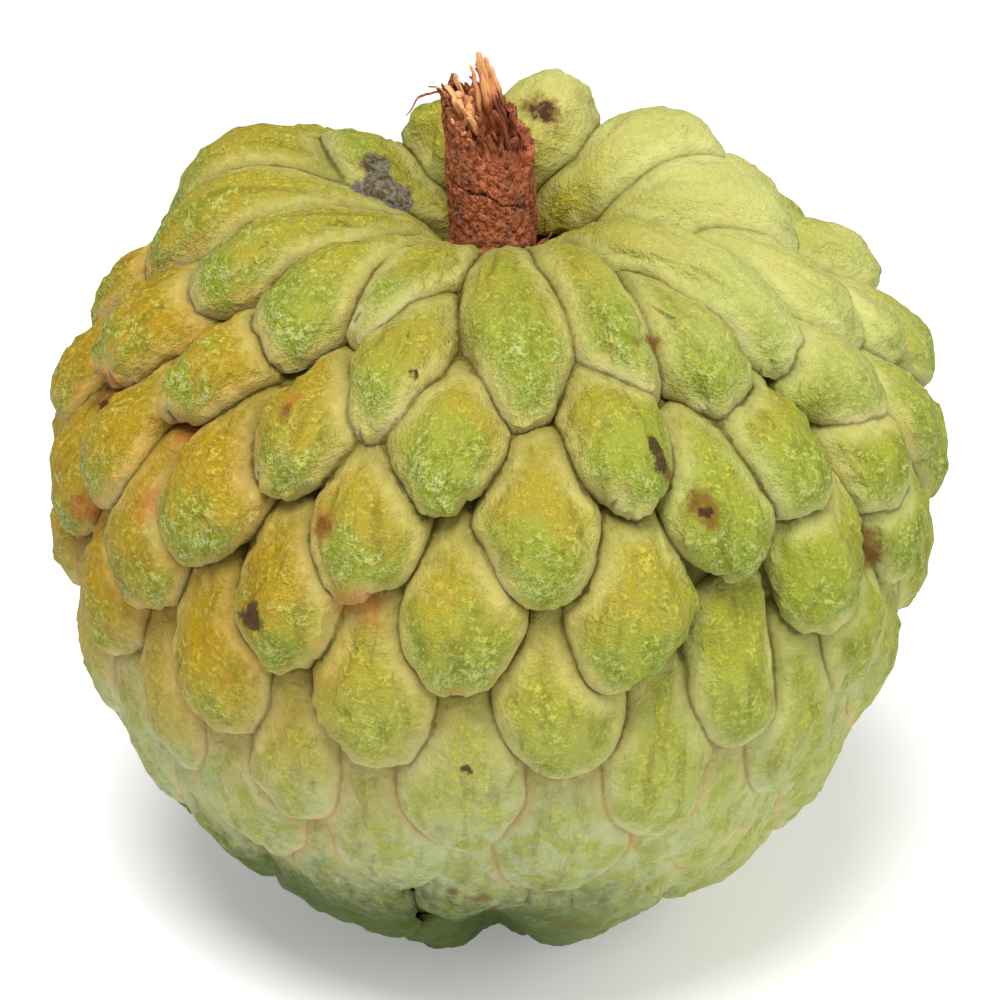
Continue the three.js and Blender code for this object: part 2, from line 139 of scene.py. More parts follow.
# How one scale is shaped from half a ball.
SCALE_CELLS = 28                # cells across the half ball
RIM_CROWDING = 0.55             # how far the cells crowd towards its rim, where it is steep
LEVEL_SPOT = 0.41               # place along the scale where its lean is nothing
WIDEST_SPOT = 0.22              # place along the scale where it is widest
TIP_NARROWING = 1.8             # power of the narrowing towards the tip: lower is pointed
ROOT_NARROWING = 2.4            # the same for the root
ROOT_REACH = 4.0                # how close to the root it keeps its height
TIP_REACH = 3.0                 # the same for the tip
SCALE_PLUMPNESS = 0.46          # power that rounds the crest and steepens the flanks
SCALE_ROOTING = 2.0             # depth of the hidden half over that of the showing one
HUMP = {"spot": 0.3, "reach": 0.45, "height": 0.22}  # the highest part, over the relief
NARROWEST_RING = 9.0            # radius under which scales no longer spread round the axis

# Each scale's outline wanders by a noise over its own place, kept apart by its number, and
# its tip has finer scallops.
OUTLINE_SPOT = {"place": 1.1, "across_step": 5.3, "level_step": 2.7}
OUTLINE_WANDER = {"waves": 1.2, "reach": 2.8}
TIP_SCALLOPS = {"waves": 4.5, "reach": 1.1, "from": 0.3, "to": 0.9}

# The plain flesh under the scales.
FLESH_RISES = (72.0, 92.0)      # arcs between which the flesh rises towards the flatter scales
FLESH_RISE = 2.2                # by how much
FLESH_SIDES = 48
FLESH_LEVELS = 32
GROUND = {"size": (200.0, 200.0, 50.0), "middle": (0.0, 0.0, -25.0)}  # cuts the flat spot

# The skin's relief: waves to the millimetre and height of each kind.
LUMPS = {"waves": 0.2, "height": 1.3}
KNOBS = {"waves": 0.45, "height": 1.1}
WRINKLES = {"waves": 0.8, "height": 0.7}
CREASES = {"waves": 1.5, "depth": 1.8, "across": 2.6, "along": 1.1, "steps": (7.0, 3.7)}
CALM_BASE = {"from": 10.0, "to": 40.0, "share": 0.7}  # heights where the relief comes to full
RELIEF_EDGE = 1.5               # distance from a furrow at which the relief is full
FURROW_ANGLE = 0.35             # radians; concave edges over this are furrows
FURROW_WIDTH = 0.35
FURROW_DEPTH = 0.25
SHARP_ANGLE = 0.6               # radians; edges over this break the smooth shading
SLOPE_REACH = 1.5               # half the stretch of side over which its slope is taken
SIDE_STEPS = 1200
SEED_VALUES = ["azimuth", "tip", "length", "width", "rise", "relief", "taper", "lean", "bend"]

# Marks on the skin, each a spot in the fruit's frame and how far it reaches.
SCABS = [
    ((12.9, -34.7, 65.3), 1.0),
    ((13.3, -35.7, 64.1), 1.0),
    ((12.3, -33.6, 66.3), 0.5),
    ((-21.4, -37.3, 50.3), 1.4),
    ((-20.8, -37.7, 51.6), 0.8),
    ((-36.3, -12.4, 58.9), 0.7),
    ((-7.4, -29.9, 69.8), 0.6),
    ((-28.4, -32.3, 42.4), 0.5),
    ((-3.1, -41.7, 37.9), 0.5),
    ((17.2, -36.2, 59.8), 0.6),
    ((-0.7, -33.2, 17.7), 0.8),
    ((-2.2, -34.8, 19.9), 0.4),
    ((3.8, 5.8, 80.4), 1.2),
]
BRUISES = [
    ((16.5, -36.1, 60.6), 1.4),
    ((17.6, -36.5, 59.3), 1.1),
    ((32.4, -25.0, 50.8), 2.2),
    ((33.0, -23.4, 49.2), 1.7),
    # This spot darkens the right foot's underside to olive-brown.
    ((5.5, -30.2, 13.8), 0.9),
    ((4.6, 5.8, 80.4), 1.5),
    ((3.2, 6.0, 80.8), 1.6),
    ((6.6, 6.6, 79.4), 0.5),
    ((-36.8, -11.5, 59.4), 1.8),
    ((-18.4, -30.5, 66.4), 0.9),
    ((-15.2, -37.1, 59.0), 1.0),
    ((13.0, -24.4, 70.2), 1.0),
    ((11.7, -26.2, 71.0), 0.8),
    ((-2.0, -34.6, 19.6), 1.2),
    ((-4.4, -35.0, 20.8), 0.8),
    ((13.6, -35.0, 62.8), 1.0),
    ((30.0, 24.0, 56.0), 2.0),
    ((-12.0, 38.0, 49.0), 1.5),
]
ASH = [
    ((-11.8, 3.4, 75.9), 1.4),
    ((-11.5, 1.9, 74.8), 1.6),
    ((-9.8, 1.0, 73.8), 1.6),
    ((-12.9, 1.4, 74.4), 1.2),
]
BLUSHES = [
    ((-12.6, -39.4, 52.8), 2.2),
    ((-11.0, -38.9, 52.2), 1.5),
    ((-3.9, -42.5, 45.6), 0.9),
    ((-17.8, -29.4, 67.0), 1.1),
    ((-30.7, -27.5, 56.1), 1.8),
    ((-27.4, -22.6, 60.9), 2.0),
    ((-15.4, -37.0, 59.2), 1.5),
    ((-36.0, -14.0, 60.5), 2.3),
    ((-38.0, -16.0, 50.0), 2.0),
    ((-24.0, -36.0, 43.0), 0.9),
]
MARKS = {"scab": SCABS, "bruise": BRUISES, "ash": ASH, "blush": BLUSHES}

# The studio, in metres. The camera's shift is a share of the picture's width.
WHITE = (1.0, 1.0, 1.0, 1.0)
FLOOR_REACH = 6.0
LIGHT_AIM = (0.0, 0.0, 0.04)
LIGHTS = table(
    "name place size power",
    ("key_light", (-0.08, -0.32, 0.85), 0.42, 8.7),
    ("fill_light", (0.6, -0.4, 0.5), 0.6, 2.8),
)
SENSOR_WIDTH = 36.0             # millimetres
CAMERA_SHIFT = (-0.001, -0.040)
NEAREST_SEEN = 0.01

# The stem stub: it stands straight and then leans, and broke off along a slanting plane.
STEM_STRAIGHT = 71.5            # height up to which it stands straight
STEM_SHIFT = -0.8               # sideways place of the foot
STEM_LEAN = -0.03               # sideways drift for each millimetre of height
BREAK_SLOPE = (-0.6, 0.52)      # rise of the break for each millimetre to the right and back
CRACK = {"height": 75.2, "slope": -0.4, "width": 0.12, "depth": 0.25, "wander": 2.0}
TORN_EDGE = {"waves": 0.9, "ring": 3.0, "height": 5.5, "lift": 0.6}
BARK_GRAINS = {"waves": 1.3, "height": 0.9}
BARK_LUMPS = {"waves": 0.5, "height": 0.8, "stretch": 0.35}
TORN_WOOD = {"waves": 0.9, "height": 6.5, "inset": 0.5, "foot": 6.0}

# Where the bark's section turns, as shares of the way from the middle of its foot up the
# outside, over the torn edge and down to the middle of the cup; and the same for the wood.
BARK_TURNS = {"foot": 0.04, "edge": 0.84, "inside": 0.88, "cup": 0.96}
BARK_SIDES = 200
BARK_LEVELS = 170
WOOD_TURNS = {"foot": 0.1, "side": 0.3}
WOOD_SIDES = 120
WOOD_LEVELS = 110

# Strips and splinters of the torn end: where they start and end, how far their middle bows
# up, and their width.
BARK_STRIPS = table(
    "root tip bow width",
    ((1.4, 2.6, 77.5), (-2.3, 1.2, 86.3), 0.9, 1.5),
    ((2.3, 1.6, 77.0), (-0.6, 1.0, 84.3), 0.8, 1.3),
    ((2.6, 0.4, 76.5), (0.9, 0.2, 81.9), 0.4, 1.1),
    ((0.2, 3.2, 78.5), (-2.9, 2.0, 85.2), 0.6, 1.4),
    ((-5.0, -0.6, 80.5), (-5.6, -0.9, 85.0), 0.2, 0.9),
    ((-4.4, 1.8, 80.0), (-5.2, 1.6, 84.6), 0.2, 1.0),
    ((-5.0, -0.8, 84.3), (-8.8, -0.8, 82.4), 1.2, 0.5),
    ((-4.9, 0.4, 83.6), (-6.7, 0.2, 84.9), 0.3, 0.36),
    ((3.0, -1.9, 69.0), (4.4, -2.4, 70.8), 0.1, 0.9),
    ((3.1, -0.8, 69.2), (4.9, -1.2, 71.1), 0.1, 0.8),
    ((2.6, -3.0, 68.6), (3.6, -4.0, 70.4), 0.1, 0.8),
)
SPLINTERS = table(
    "root tip bow width",
    ((-0.7, 0.4, 79.5), (-2.1, 0.2, 88.2), 0.2, 2.0),
    ((0.1, 0.7, 79.5), (-1.3, 0.6, 87.6), 0.3, 1.6),
    ((0.8, 0.9, 79.0), (-0.7, 0.7, 86.6), 0.3, 1.4),
    ((-1.4, 0.2, 79.5), (-2.8, 0.0, 87.0), 0.3, 1.2),
    ((-0.4, -0.2, 79.5), (-1.8, -0.3, 86.2), 0.2, 1.3),
    ((0.4, 0.2, 79.0), (-0.8, 0.0, 85.2), 0.2, 1.5),
    ((-2.6, -0.4, 80.0), (-5.0, -0.8, 85.3), 0.4, 1.3),
    ((-3.2, 0.2, 80.5), (-5.9, -0.2, 85.0), 0.4, 1.1),
    ((-2.0, -1.2, 80.0), (-4.0, -2.0, 84.3), 0.3, 1.1),
    ((-3.0, 1.2, 80.5), (-4.2, 1.0, 85.8), 0.3, 1.2),
    ((-1.0, -1.6, 79.0), (-2.9, -2.6, 82.9), 0.1, 1.3),
    ((1.0, -0.6, 78.0), (-0.6, -1.4, 83.2), 0.3, 1.2),
    ((1.6, 0.2, 77.5), (1.0, 0.0, 82.4), 0.3, 1.1),
)
FINE_SPLINTERS = {
    "count": 56,
    "turn": 137.5,              # degrees from one to the next
    "inset": 0.9,               # how far the outermost stay within the stem's side
    "sink": 1.2,                # depth of the roots under the break
    "rise": 0.8,                # height of the tips over the break, past the length
    "length": 1.3,
    "width": 0.8,
    "lean": -0.5,
    "forward": -0.3,
}
SPLINTER_STRAY = {"length": 0.5, "lean": 1.5, "forward": 0.9, "width": 0.5, "bow": 0.3}
STRAND_STEPS = 14
STRAND_SIDES = 6
STRAND_SWAY = {"waves": 0.7, "reach": 2.6}
STRAND_RAGS = {"waves": 0.6, "share": 1.2, "least": 0.4}
STRAND_TAPER = {"power": 12.0, "share": 0.28, "tip": 0.22}
BARK_THINNESS = 0.35            # thickness of a strip over its width
WOOD_THINNESS = 0.4


def jitter(number, channel):
    wave = math.sin(number * 127.1 + channel * 311.7 + SEED) * 43758.5453
    return 2 * (wave - math.floor(wave)) - 1


def ring_scale(ring, row, place):
    number = (row + 1) * NUMBERS_PER_RING + place
    shift = MISPLACED.get((row, place), IN_PLACE)
    step = 360 / ring["count"]
    turn = ring["turn"] + step * (place + STRAY["turn"] * jitter(number, 1))
    return {
        **RING_KIND,
        **ring,
        "azimuth": turn + shift["turn"],
        "tip": ring["tip"] + STRAY["tip"] * jitter(number, 2) + shift["drop"],
        "length": ring["length"] * (1 + STRAY["length"] * jitter(number, 3)),
        "width": ring["width"] * (1 + STRAY["width"] * jitter(number, 4)),
        "rise": STRAY["rise"] * jitter(number, 5),
        "bend": STRAY["bend"] * jitter(number, 6),
    }


def back_crown_scale(place):
    turn = BACK_CROWN["turn"] + BACK_CROWN["step"] * (place + STRAY["turn"] * jitter(place, 7))
    return {
        **CROWN_KIND,
        "azimuth": turn,
        "tip": BACK_CROWN["tip"] + STRAY["tip"] * jitter(place, 8),
        "length": BACK_CROWN["length"],
        "width": BACK_CROWN["width"] * (1 + STRAY["width"] * jitter(place, 9)),
        "rise": STRAY["rise"] * jitter(place, 10),
        "bend": STRAY["bend"] * jitter(place, 11),
    }


def all_scales():
    scales = [{**CROWN_KIND, **scale} for scale in CROWN_SCALES]
    scales += [back_crown_scale(place) for place in range(BACK_CROWN["count"])]
    for row, ring in enumerate(RINGS):
        scales += [ring_scale(ring, row, place) for place in range(ring["count"])]
    return scales


# ---------------------------------------------------------------- node trees as formulas


def plug(tree, value, socket):
    if isinstance(value, Field):
        tree.links.new(value.socket, socket)
    elif value is not None:
        socket.default_value = value


class Field:
    """A value that flows through a node tree, so that formulas of it read as formulas."""

    def __init__(self, tree, socket):
        self.tree = tree
        self.socket = socket

    def math(self, operation, *others):
        node = self.tree.nodes.new("ShaderNodeMath")
        node.operation = operation
        for socket, value in zip(node.inputs, (self, *others)):
            plug(self.tree, value, socket)
        return Field(self.tree, node.outputs[0])

    def __add__(self, other):
        return self.math("ADD", other)

    def __sub__(self, other):
        return self.math("SUBTRACT", other)

    def __mul__(self, other):
        return self.math("MULTIPLY", other)

    def __truediv__(self, other):
        return self.math("DIVIDE", other)

    def __pow__(self, other):
        return self.math("POWER", other)

    def __neg__(self):
        return self.math("MULTIPLY", -1.0)

    def __rsub__(self, other):
        return -self + other

    def __rtruediv__(self, other):
        return self**-1.0 * other

    __radd__ = __add__
    __rmul__ = __mul__


class Graph:
    """A node tree being written: each method adds a node and gives back what flows out."""

    def __init__(self, tree):
        self.tree = tree

    def add(self, kind, inputs=(), out=0, **settings):
        node = self.tree.nodes.new(kind)
        for name, value in settings.items():
            setattr(node, name, value)
        for key, value in dict(inputs).items():
            plug(self.tree, value, self.socket_of(node.inputs, key))
        return Field(self.tree, self.socket_of(node.outputs, out))

    @staticmethod
    def socket_of(sockets, key):
        if isinstance(key, int):
            return sockets[key]
        return next(socket for socket in sockets if socket.name == key and socket.enabled)

    def also(self, field, out):
        return Field(self.tree, self.socket_of(field.socket.node.outputs, out))

    def combine(self, x, y, z):
        return self.add("ShaderNodeCombineXYZ", {"X": x, "Y": y, "Z": z})

    def separate(self, vector):
        x = self.add("ShaderNodeSeparateXYZ", {"Vector": vector}, "X")
        return x, self.also(x, "Y"), self.also(x, "Z")

    def vector(self, operation, *values, scale=None):
        inputs = dict(enumerate(values))
        if scale is not None:
            inputs["Scale"] = scale
        return self.add("ShaderNodeVectorMath", inputs, "Vector", operation=operation)

    def noise(self, vector, scale, detail=2.0, roughness=0.5):
        inputs = {"Vector": vector, "Scale": scale, "Detail": detail, "Roughness": roughness}
        return self.add("ShaderNodeTexNoise", inputs)

    def ramp(self, value, low, high):
        """0 below low, 1 above high and a straight slope between."""
        return self.add("ShaderNodeMapRange", {"Value": value, "From Min": low, "From Max": high})

    def smooth(self, value, low, high):
        """0 below low, 1 above high and a smooth step between, or the reverse if high < low."""
        inputs = {"Value": value, "From Min": low, "From Max": high}
        return self.add("ShaderNodeMapRange", inputs, interpolation_type="SMOOTHSTEP")


class GeometryGraph(Graph):
    """A Geometry Nodes tree, with its named inputs and the modifier that runs it."""

    def __init__(self, name):
        super().__init__(bpy.data.node_groups.new(name, "GeometryNodeTree"))
        self.inputs = self.tree.nodes.new("NodeGroupInput")
        self.outputs = self.tree.nodes.new("NodeGroupOutput")
        self.defaults = {}
        self.tree.interface.new_socket("Geometry", in_out="INPUT", socket_type="NodeSocketGeometry")
        self.tree.interface.new_socket("Geometry", in_out="OUTPUT", socket_type="NodeSocketGeometry")

    def geometry(self):
        return Field(self.tree, self.inputs.outputs["Geometry"])

    def input(self, name, value, kind="Float"):
        made = self.tree.interface.new_socket(
            name, in_out="INPUT", socket_type="NodeSocket" + kind
        )
        self.defaults[made.identifier] = value
        return Field(self.tree, self.inputs.outputs[name])

    def attribute(self, name, kind="FLOAT"):
        return self.add("GeometryNodeInputNamedAttribute", {"Name": name}, "Attribute", data_type=kind)

    def store(self, geometry, name, value, domain="POINT", kind="FLOAT"):
        inputs = {"Geometry": geometry, "Name": name, "Value": value}
        settings = {"domain": domain, "data_type": kind}
        return self.add("GeometryNodeStoreNamedAttribute", inputs, **settings)

    def position(self):
        return self.add("GeometryNodeInputPosition")

    def move(self, geometry, position=None, offset=None):
        inputs = {"Geometry": geometry, "Position": position, "Offset": offset}
        return self.add("GeometryNodeSetPosition", inputs)

    def triangles(self, mesh):
        return self.add("GeometryNodeTriangulate", {"Mesh": mesh}, "Mesh")

    def boolean(self, operation, *meshes):
        node = self.tree.nodes.new("GeometryNodeMeshBoolean")
        node.operation = operation
        node.solver = "MANIFOLD"
        first = 0
        if operation == "DIFFERENCE":
            plug(self.tree, meshes[0], node.inputs[0])
            first = 1
        for mesh in meshes[first:]:
            plug(self.tree, mesh, node.inputs[1])
        return Field(self.tree, node.outputs["Mesh"])

    def finish(self, mesh, material):
        """End the tree: the mesh in metres, realized and with its material."""
        small = self.add("GeometryNodeTransform", {"Geometry": mesh, "Scale": (MM, MM, MM)})
        real = self.add("GeometryNodeRealizeInstances", {"Geometry": small})
        inputs = {"Geometry": real, "Material": material}
        ended = self.add("GeometryNodeSetMaterial", inputs)
        self.tree.links.new(ended.socket, self.outputs.inputs["Geometry"])

    def run(self, carrier, name):
        """Run the tree on the carrier and give back the result as a plain mesh object."""
        modifier = carrier.modifiers.new(self.tree.name, "NODES")
        modifier.node_group = self.tree
        for identifier, value in self.defaults.items():
            modifier[identifier] = value
        evaluated = carrier.evaluated_get(bpy.context.evaluated_depsgraph_get())
        mesh = bpy.data.meshes.new_from_object(evaluated)
        carrier.modifiers.remove(modifier)
        mesh.name = name
        return add_object(name, mesh)


def add_object(name, content):
    made = bpy.data.objects.new(name, content)
    bpy.context.scene.collection.objects.link(made)
    return made


# ---------------------------------------------------------------- the fruit's shape


def scale_template():
    """Half a ball of even cells, closed below by a cone: what each scale is bent from."""
    ticks = np.linspace(-1.0, 1.0, SCALE_CELLS + 1)
    points = []
    for b in ticks:
        for a in ticks:
            x = a * math.sqrt(1 - b * b / 2)
            y = b * math.sqrt(1 - a * a / 2)
            rim = min(math.hypot(x, y), 1.0)
            crowded = math.sin(rim * math.pi / 2)
            wanted = rim + RIM_CROWDING * (crowded - rim)
            grow = wanted / rim if rim > 0 else 1.0
            points.append((x * grow, y * grow, math.sqrt(max(1 - wanted * wanted, 0.0))))
    side = SCALE_CELLS + 1
    faces = []
    for row in range(SCALE_CELLS):
        for column in range(SCALE_CELLS):
            corner = row * side + column
            faces.append((corner, corner + 1, corner + side + 1, corner + side))
    last = SCALE_CELLS
    rim_loop = [column for column in range(last)]
    rim_loop += [row * side + last for row in range(last)]
    rim_loop += [last * side + column for column in range(last, 0, -1)]
    rim_loop += [row * side for row in range(last, 0, -1)]
    root = len(points)
    points.append((0.0, 0.0, -1.0))
    for here, after in zip(rim_loop, rim_loop[1:] + rim_loop[:1]):
        faces.append((after, here, root))
    mesh = bpy.data.meshes.new("scale_template")
    mesh.from_pydata(points, [], faces)
    return add_object("scale_template", mesh)


def scale_seeds():
    """One point for each scale, which carries the numbers that shape it."""
    scales = all_scales()
    mesh = bpy.data.meshes.new("scale_seeds")
    mesh.from_pydata([(0.0, 0.0, 0.0)] * len(scales), [], [])
    for name in SEED_VALUES:
        values = mesh.attributes.new(name, "FLOAT", "POINT")
        values.data.foreach_set("value", [scale[name] for scale in scales])
    numbers = mesh.attributes.new("scale", "INT", "POINT")
    numbers.data.foreach_set("value", range(len(scales)))
    return add_object("scale_seeds", mesh)


def side_curve(graph, sizes):
    """The fruit's side as a curve in the XZ plane, from the stem's axis down to the base."""
    line = graph.add("GeometryNodeCurvePrimitiveLine", out="Curve")
    even = graph.add("GeometryNodeResampleCurve", {"Curve": line, "Count": SIDE_STEPS})
    angle = graph.add("GeometryNodeInputIndex") * (math.pi / (SIDE_STEPS - 1))
    across = angle.math("SINE").math("MAXIMUM", 0.0)
    up = angle.math("COSINE")
    high = sizes["radius"] * across ** (2.0 / sizes["crown_fullness"])
    dimple = ((high / sizes["dimple_radius"]) ** 2.0 * -1.0).math("EXPONENT") * sizes["dimple_depth"]
    rise = sizes["crown_rise"] * up.math("MAXIMUM", 0.0) ** (2.0 / sizes["crown_fullness"]) - dimple
    low = sizes["radius"] * across ** (2.0 / sizes["base_fullness"])
    drop = sizes["base_drop"] * (-up).math("MAXIMUM", 0.0) ** (2.0 / sizes["base_fullness"])
    above = up.math("GREATER_THAN", 0.0)
    below = 1.0 - above
    place = graph.combine(high * above + low * below, 0.0, rise * above - drop * below)
    return graph.move(even, position=place)


def side_point(graph, side, arc):
    inputs = {"Curves": side, "Length": arc}
    point = graph.add("GeometryNodeSampleCurve", inputs, "Position", mode="LENGTH")
    radius, _, level = graph.separate(point)
    return radius, level


def swelling(azimuth, arc):
    total = 0.0
    for swell in SWELLINGS:
        turn = (azimuth - swell["azimuth"]).math("WRAP", 180.0, -180.0) / swell["spread_azimuth"]
        away = (arc - swell["arc"]) / swell["spread_arc"]
        total = (-(turn * turn + away * away)).math("EXPONENT") * swell["rise"] + total
    return total


def over_side(graph, side, azimuth, arc, height):
    """The place at a height above the side, in the fruit's frame with its flat spot at z = 0."""
    radius, level = side_point(graph, side, arc)
    radius_before, level_before = side_point(graph, side, arc - SLOPE_REACH)
    radius_after, level_after = side_point(graph, side, arc + SLOPE_REACH)
    run = radius_after - radius_before
    fall = level_before - level_after
    slope = (run * run + fall * fall).math("SQRT")
    full = height + swelling(azimuth, arc)
    out = (radius + fall / slope * full).math("MAXIMUM", 0.0)
    turn = azimuth.math("RADIANS")
    x = out * turn.math("SINE")
    y = out * turn.math("COSINE") * -1.0
    return graph.combine(x, y, level + run / slope * full + (BASE_DROP - REST_CUT))


def bent_scales(graph, seeds, template, side):
    """Every scale as a closed solid, bent over the side from a half ball of unit radius."""
    placed = graph.add("GeometryNodeInstanceOnPoints", {"Points": seeds, "Instance": template})
    scales = graph.add("GeometryNodeRealizeInstances", {"Geometry": placed})
    value = {name: graph.attribute(name) for name in SEED_VALUES}
    x, along, z = graph.separate(graph.position())
    number = graph.attribute("scale")
    place = graph.combine(x, along, number)
    scales = graph.store(scales, "place", place, kind="FLOAT_VECTOR")
    level = (1.0 - along * along).math("MAXIMUM", 0.0001)
    sideways = x / level.math("SQRT")
    past_widest = along - WIDEST_SPOT
    narrowing = past_widest.math("ABSOLUTE") / (1.0 - past_widest.math("SIGN") * WIDEST_SPOT)
    is_tip = past_widest.math("GREATER_THAN", 0.0)
    power = is_tip * (TIP_NARROWING - ROOT_NARROWING) + ROOT_NARROWING
    outline = (1.0 - narrowing**power).math("MAXIMUM", 0.0).math("SQRT")
    arc = value["tip"] + value["length"] * 0.5 * (along - 1.0)
    across = sideways * value["width"] * -0.5 * outline * (along * value["taper"] + 1.0)
    spot_across = x * OUTLINE_SPOT["place"] + number * OUTLINE_SPOT["across_step"]
    spot_level = number * OUTLINE_SPOT["level_step"]
    spot = graph.combine(spot_across, along * OUTLINE_SPOT["place"], spot_level)
    wander = graph.noise(spot, OUTLINE_WANDER["waves"], 1.0)
    drift_across, drift_down, _ = graph.separate(graph.also(wander, "Color"))
    drift_across = (drift_across - 0.5) * OUTLINE_WANDER["reach"]
    drift_down = (drift_down - 0.5) * OUTLINE_WANDER["reach"]
    across = across + drift_across + value["bend"] * along * along
    scallops = (graph.noise(spot, TIP_SCALLOPS["waves"], 1.0) - 0.5) * TIP_SCALLOPS["reach"]
    scallops = scallops * graph.smooth(along, TIP_SCALLOPS["from"], TIP_SCALLOPS["to"])
    arc = arc + drift_down + scallops
    ring_radius = side_point(graph, side, arc)[0].math("MAXIMUM", NARROWEST_RING)
    azimuth = value["azimuth"] + (across / ring_radius).math("DEGREES")
    reach = along.math("GREATER_THAN", 0.0) * (TIP_REACH - ROOT_REACH) + ROOT_REACH
    ends = (1.0 - along.math("ABSOLUTE") ** reach).math("MAXIMUM", 0.0)
    bulge = ((1.0 - sideways * sideways).math("MAXIMUM", 0.0) * ends) ** SCALE_PLUMPNESS
    showing = z.math("GREATER_THAN", -0.5)
    dome = bulge * showing - (1.0 - showing) * SCALE_ROOTING
    crest = value["rise"] + value["lean"] * (along - LEVEL_SPOT)
    hump = (-((along - HUMP["spot"]) / HUMP["reach"]) ** 2.0).math("EXPONENT")
    hump = hump * (1.0 - sideways * sideways).math("MAXIMUM", 0.0) * showing * HUMP["height"]
    height = crest + value["relief"] * (dome - 1.0 + hump)
    return graph.move(scales, position=over_side(graph, side, azimuth, arc, height))


def unit_ball(graph, sides, levels):
    """A ball to be bent into a closed form, with the angle from its top at each place."""
    inputs = {"Segments": sides, "Rings": levels, "Radius": 1.0}
    ball = graph.add("GeometryNodeMeshUVSphere", inputs)
    x, y, z = graph.separate(graph.position())
    angle = z.math("MINIMUM", 1.0).math("MAXIMUM", -1.0).math("ARCCOSINE")
    return ball, x, y, angle


def flesh(graph, side, sizes):
    """The plain body under the scales."""
    ball, x, y, angle = unit_ball(graph, FLESH_SIDES, FLESH_LEVELS)
    length = graph.add("GeometryNodeCurveLength", {"Curve": side})
    arc = angle * length / math.pi
    azimuth = x.math("ARCTAN2", -y).math("DEGREES")
    filled = graph.smooth(arc, *FLESH_RISES) * FLESH_RISE
    height = filled - sizes["flesh_inset"]
    return graph.move(ball, position=over_side(graph, side, azimuth, arc, height))


def outer_skin(graph, mesh):
    """Only the largest skin: pockets that the scales close off between them are flesh."""
    island = graph.add("GeometryNodeInputMeshIsland", out="Island Index")
    inputs = {"Value": 1.0, "Group ID": island}
    faces = graph.add("GeometryNodeAccumulateField", inputs, "Total", domain="FACE")
    inputs = {"Geometry": mesh, "Attribute": faces}
    most = graph.add("GeometryNodeAttributeStatistic", inputs, "Max", domain="FACE")
    largest = faces.math("COMPARE", most, 0.5)
    inputs = {"Geometry": mesh, "Selection": largest}
    return graph.add("GeometryNodeSeparateGeometry", inputs, "Selection", domain="FACE")


def kept_place(graph, skin, scales):
    """Each vertex of the joined skin takes its place on its scale from the scales before."""
    place = graph.attribute("place", "FLOAT_VECTOR")
    inputs = {"Mesh": scales, "Value": place, "Sample Position": graph.position()}
    kind = "FLOAT_VECTOR"
    nearest = graph.add("GeometryNodeSampleNearestSurface", inputs, "Value", data_type=kind)
    return graph.store(skin, "place", nearest, kind=kind)


def seam_distance(graph, skin):
    """Store how far each vertex is from the nearest furrow between scales."""
    angle = graph.add("GeometryNodeInputMeshEdgeAngle", out="Signed Angle")
    furrow = angle.math("LESS_THAN", -FURROW_ANGLE)
    inputs = {"Geometry": skin, "Selection": furrow}
    furrows = graph.add("GeometryNodeSeparateGeometry", inputs, "Selection", domain="EDGE")
    inputs = {"Geometry": furrows}
    distance = graph.add("GeometryNodeProximity", inputs, "Distance", target_element="EDGES")
    return graph.store(skin, "seam", distance)


def weathered(graph, skin):
    """Lumps, creases and wrinkles over the whole skin, and furrows cut a little deeper."""
    across, along, number = graph.separate(graph.attribute("place", "FLOAT_VECTOR"))
    seam = graph.attribute("seam")
    position = graph.position()
    level = graph.separate(position)[2]
    lumps = (graph.noise(position, LUMPS["waves"]) - 0.5) * LUMPS["height"]
    knobs = (graph.noise(position, KNOBS["waves"]) - 0.5) * KNOBS["height"]
    step_across, step_level = CREASES["steps"]
    stretched = graph.combine(
        across * CREASES["across"] + number * step_across,
        along * CREASES["along"],
        number * step_level,
    )
    creases = graph.noise(stretched, CREASES["waves"], 2.0, 0.6) - 0.5
    creases = creases.math("ABSOLUTE") * CREASES["depth"]
    wrinkles = (graph.noise(position, WRINKLES["waves"], 2.0, 0.6) - 0.5) * WRINKLES["height"]
    calm = graph.smooth(level, CALM_BASE["from"], CALM_BASE["to"]) * (1.0 - CALM_BASE["share"])
    calm = calm + CALM_BASE["share"]
    away = graph.smooth(seam, 0.0, RELIEF_EDGE)
    cut = (-(seam / FURROW_WIDTH)).math("EXPONENT") * FURROW_DEPTH
    rise = lumps + (knobs + wrinkles - creases) * calm * away - cut
    normal = graph.add("GeometryNodeInputNormal")
    return graph.move(skin, offset=graph.vector("SCALE", normal, scale=rise))


def smoothed(graph, skin):
    """Smooth shading that breaks at the furrows."""
    angle = graph.add("GeometryNodeInputMeshEdgeAngle", out="Unsigned Angle")
    sharp = angle.math("GREATER_THAN", SHARP_ANGLE)
    inputs = {"Geometry": skin, "Selection": sharp, "Shade Smooth": False}
    broken = graph.add("GeometryNodeSetShadeSmooth", inputs, domain="EDGE")
    return graph.add("GeometryNodeSetShadeSmooth", {"Geometry": broken, "Shade Smooth": True})


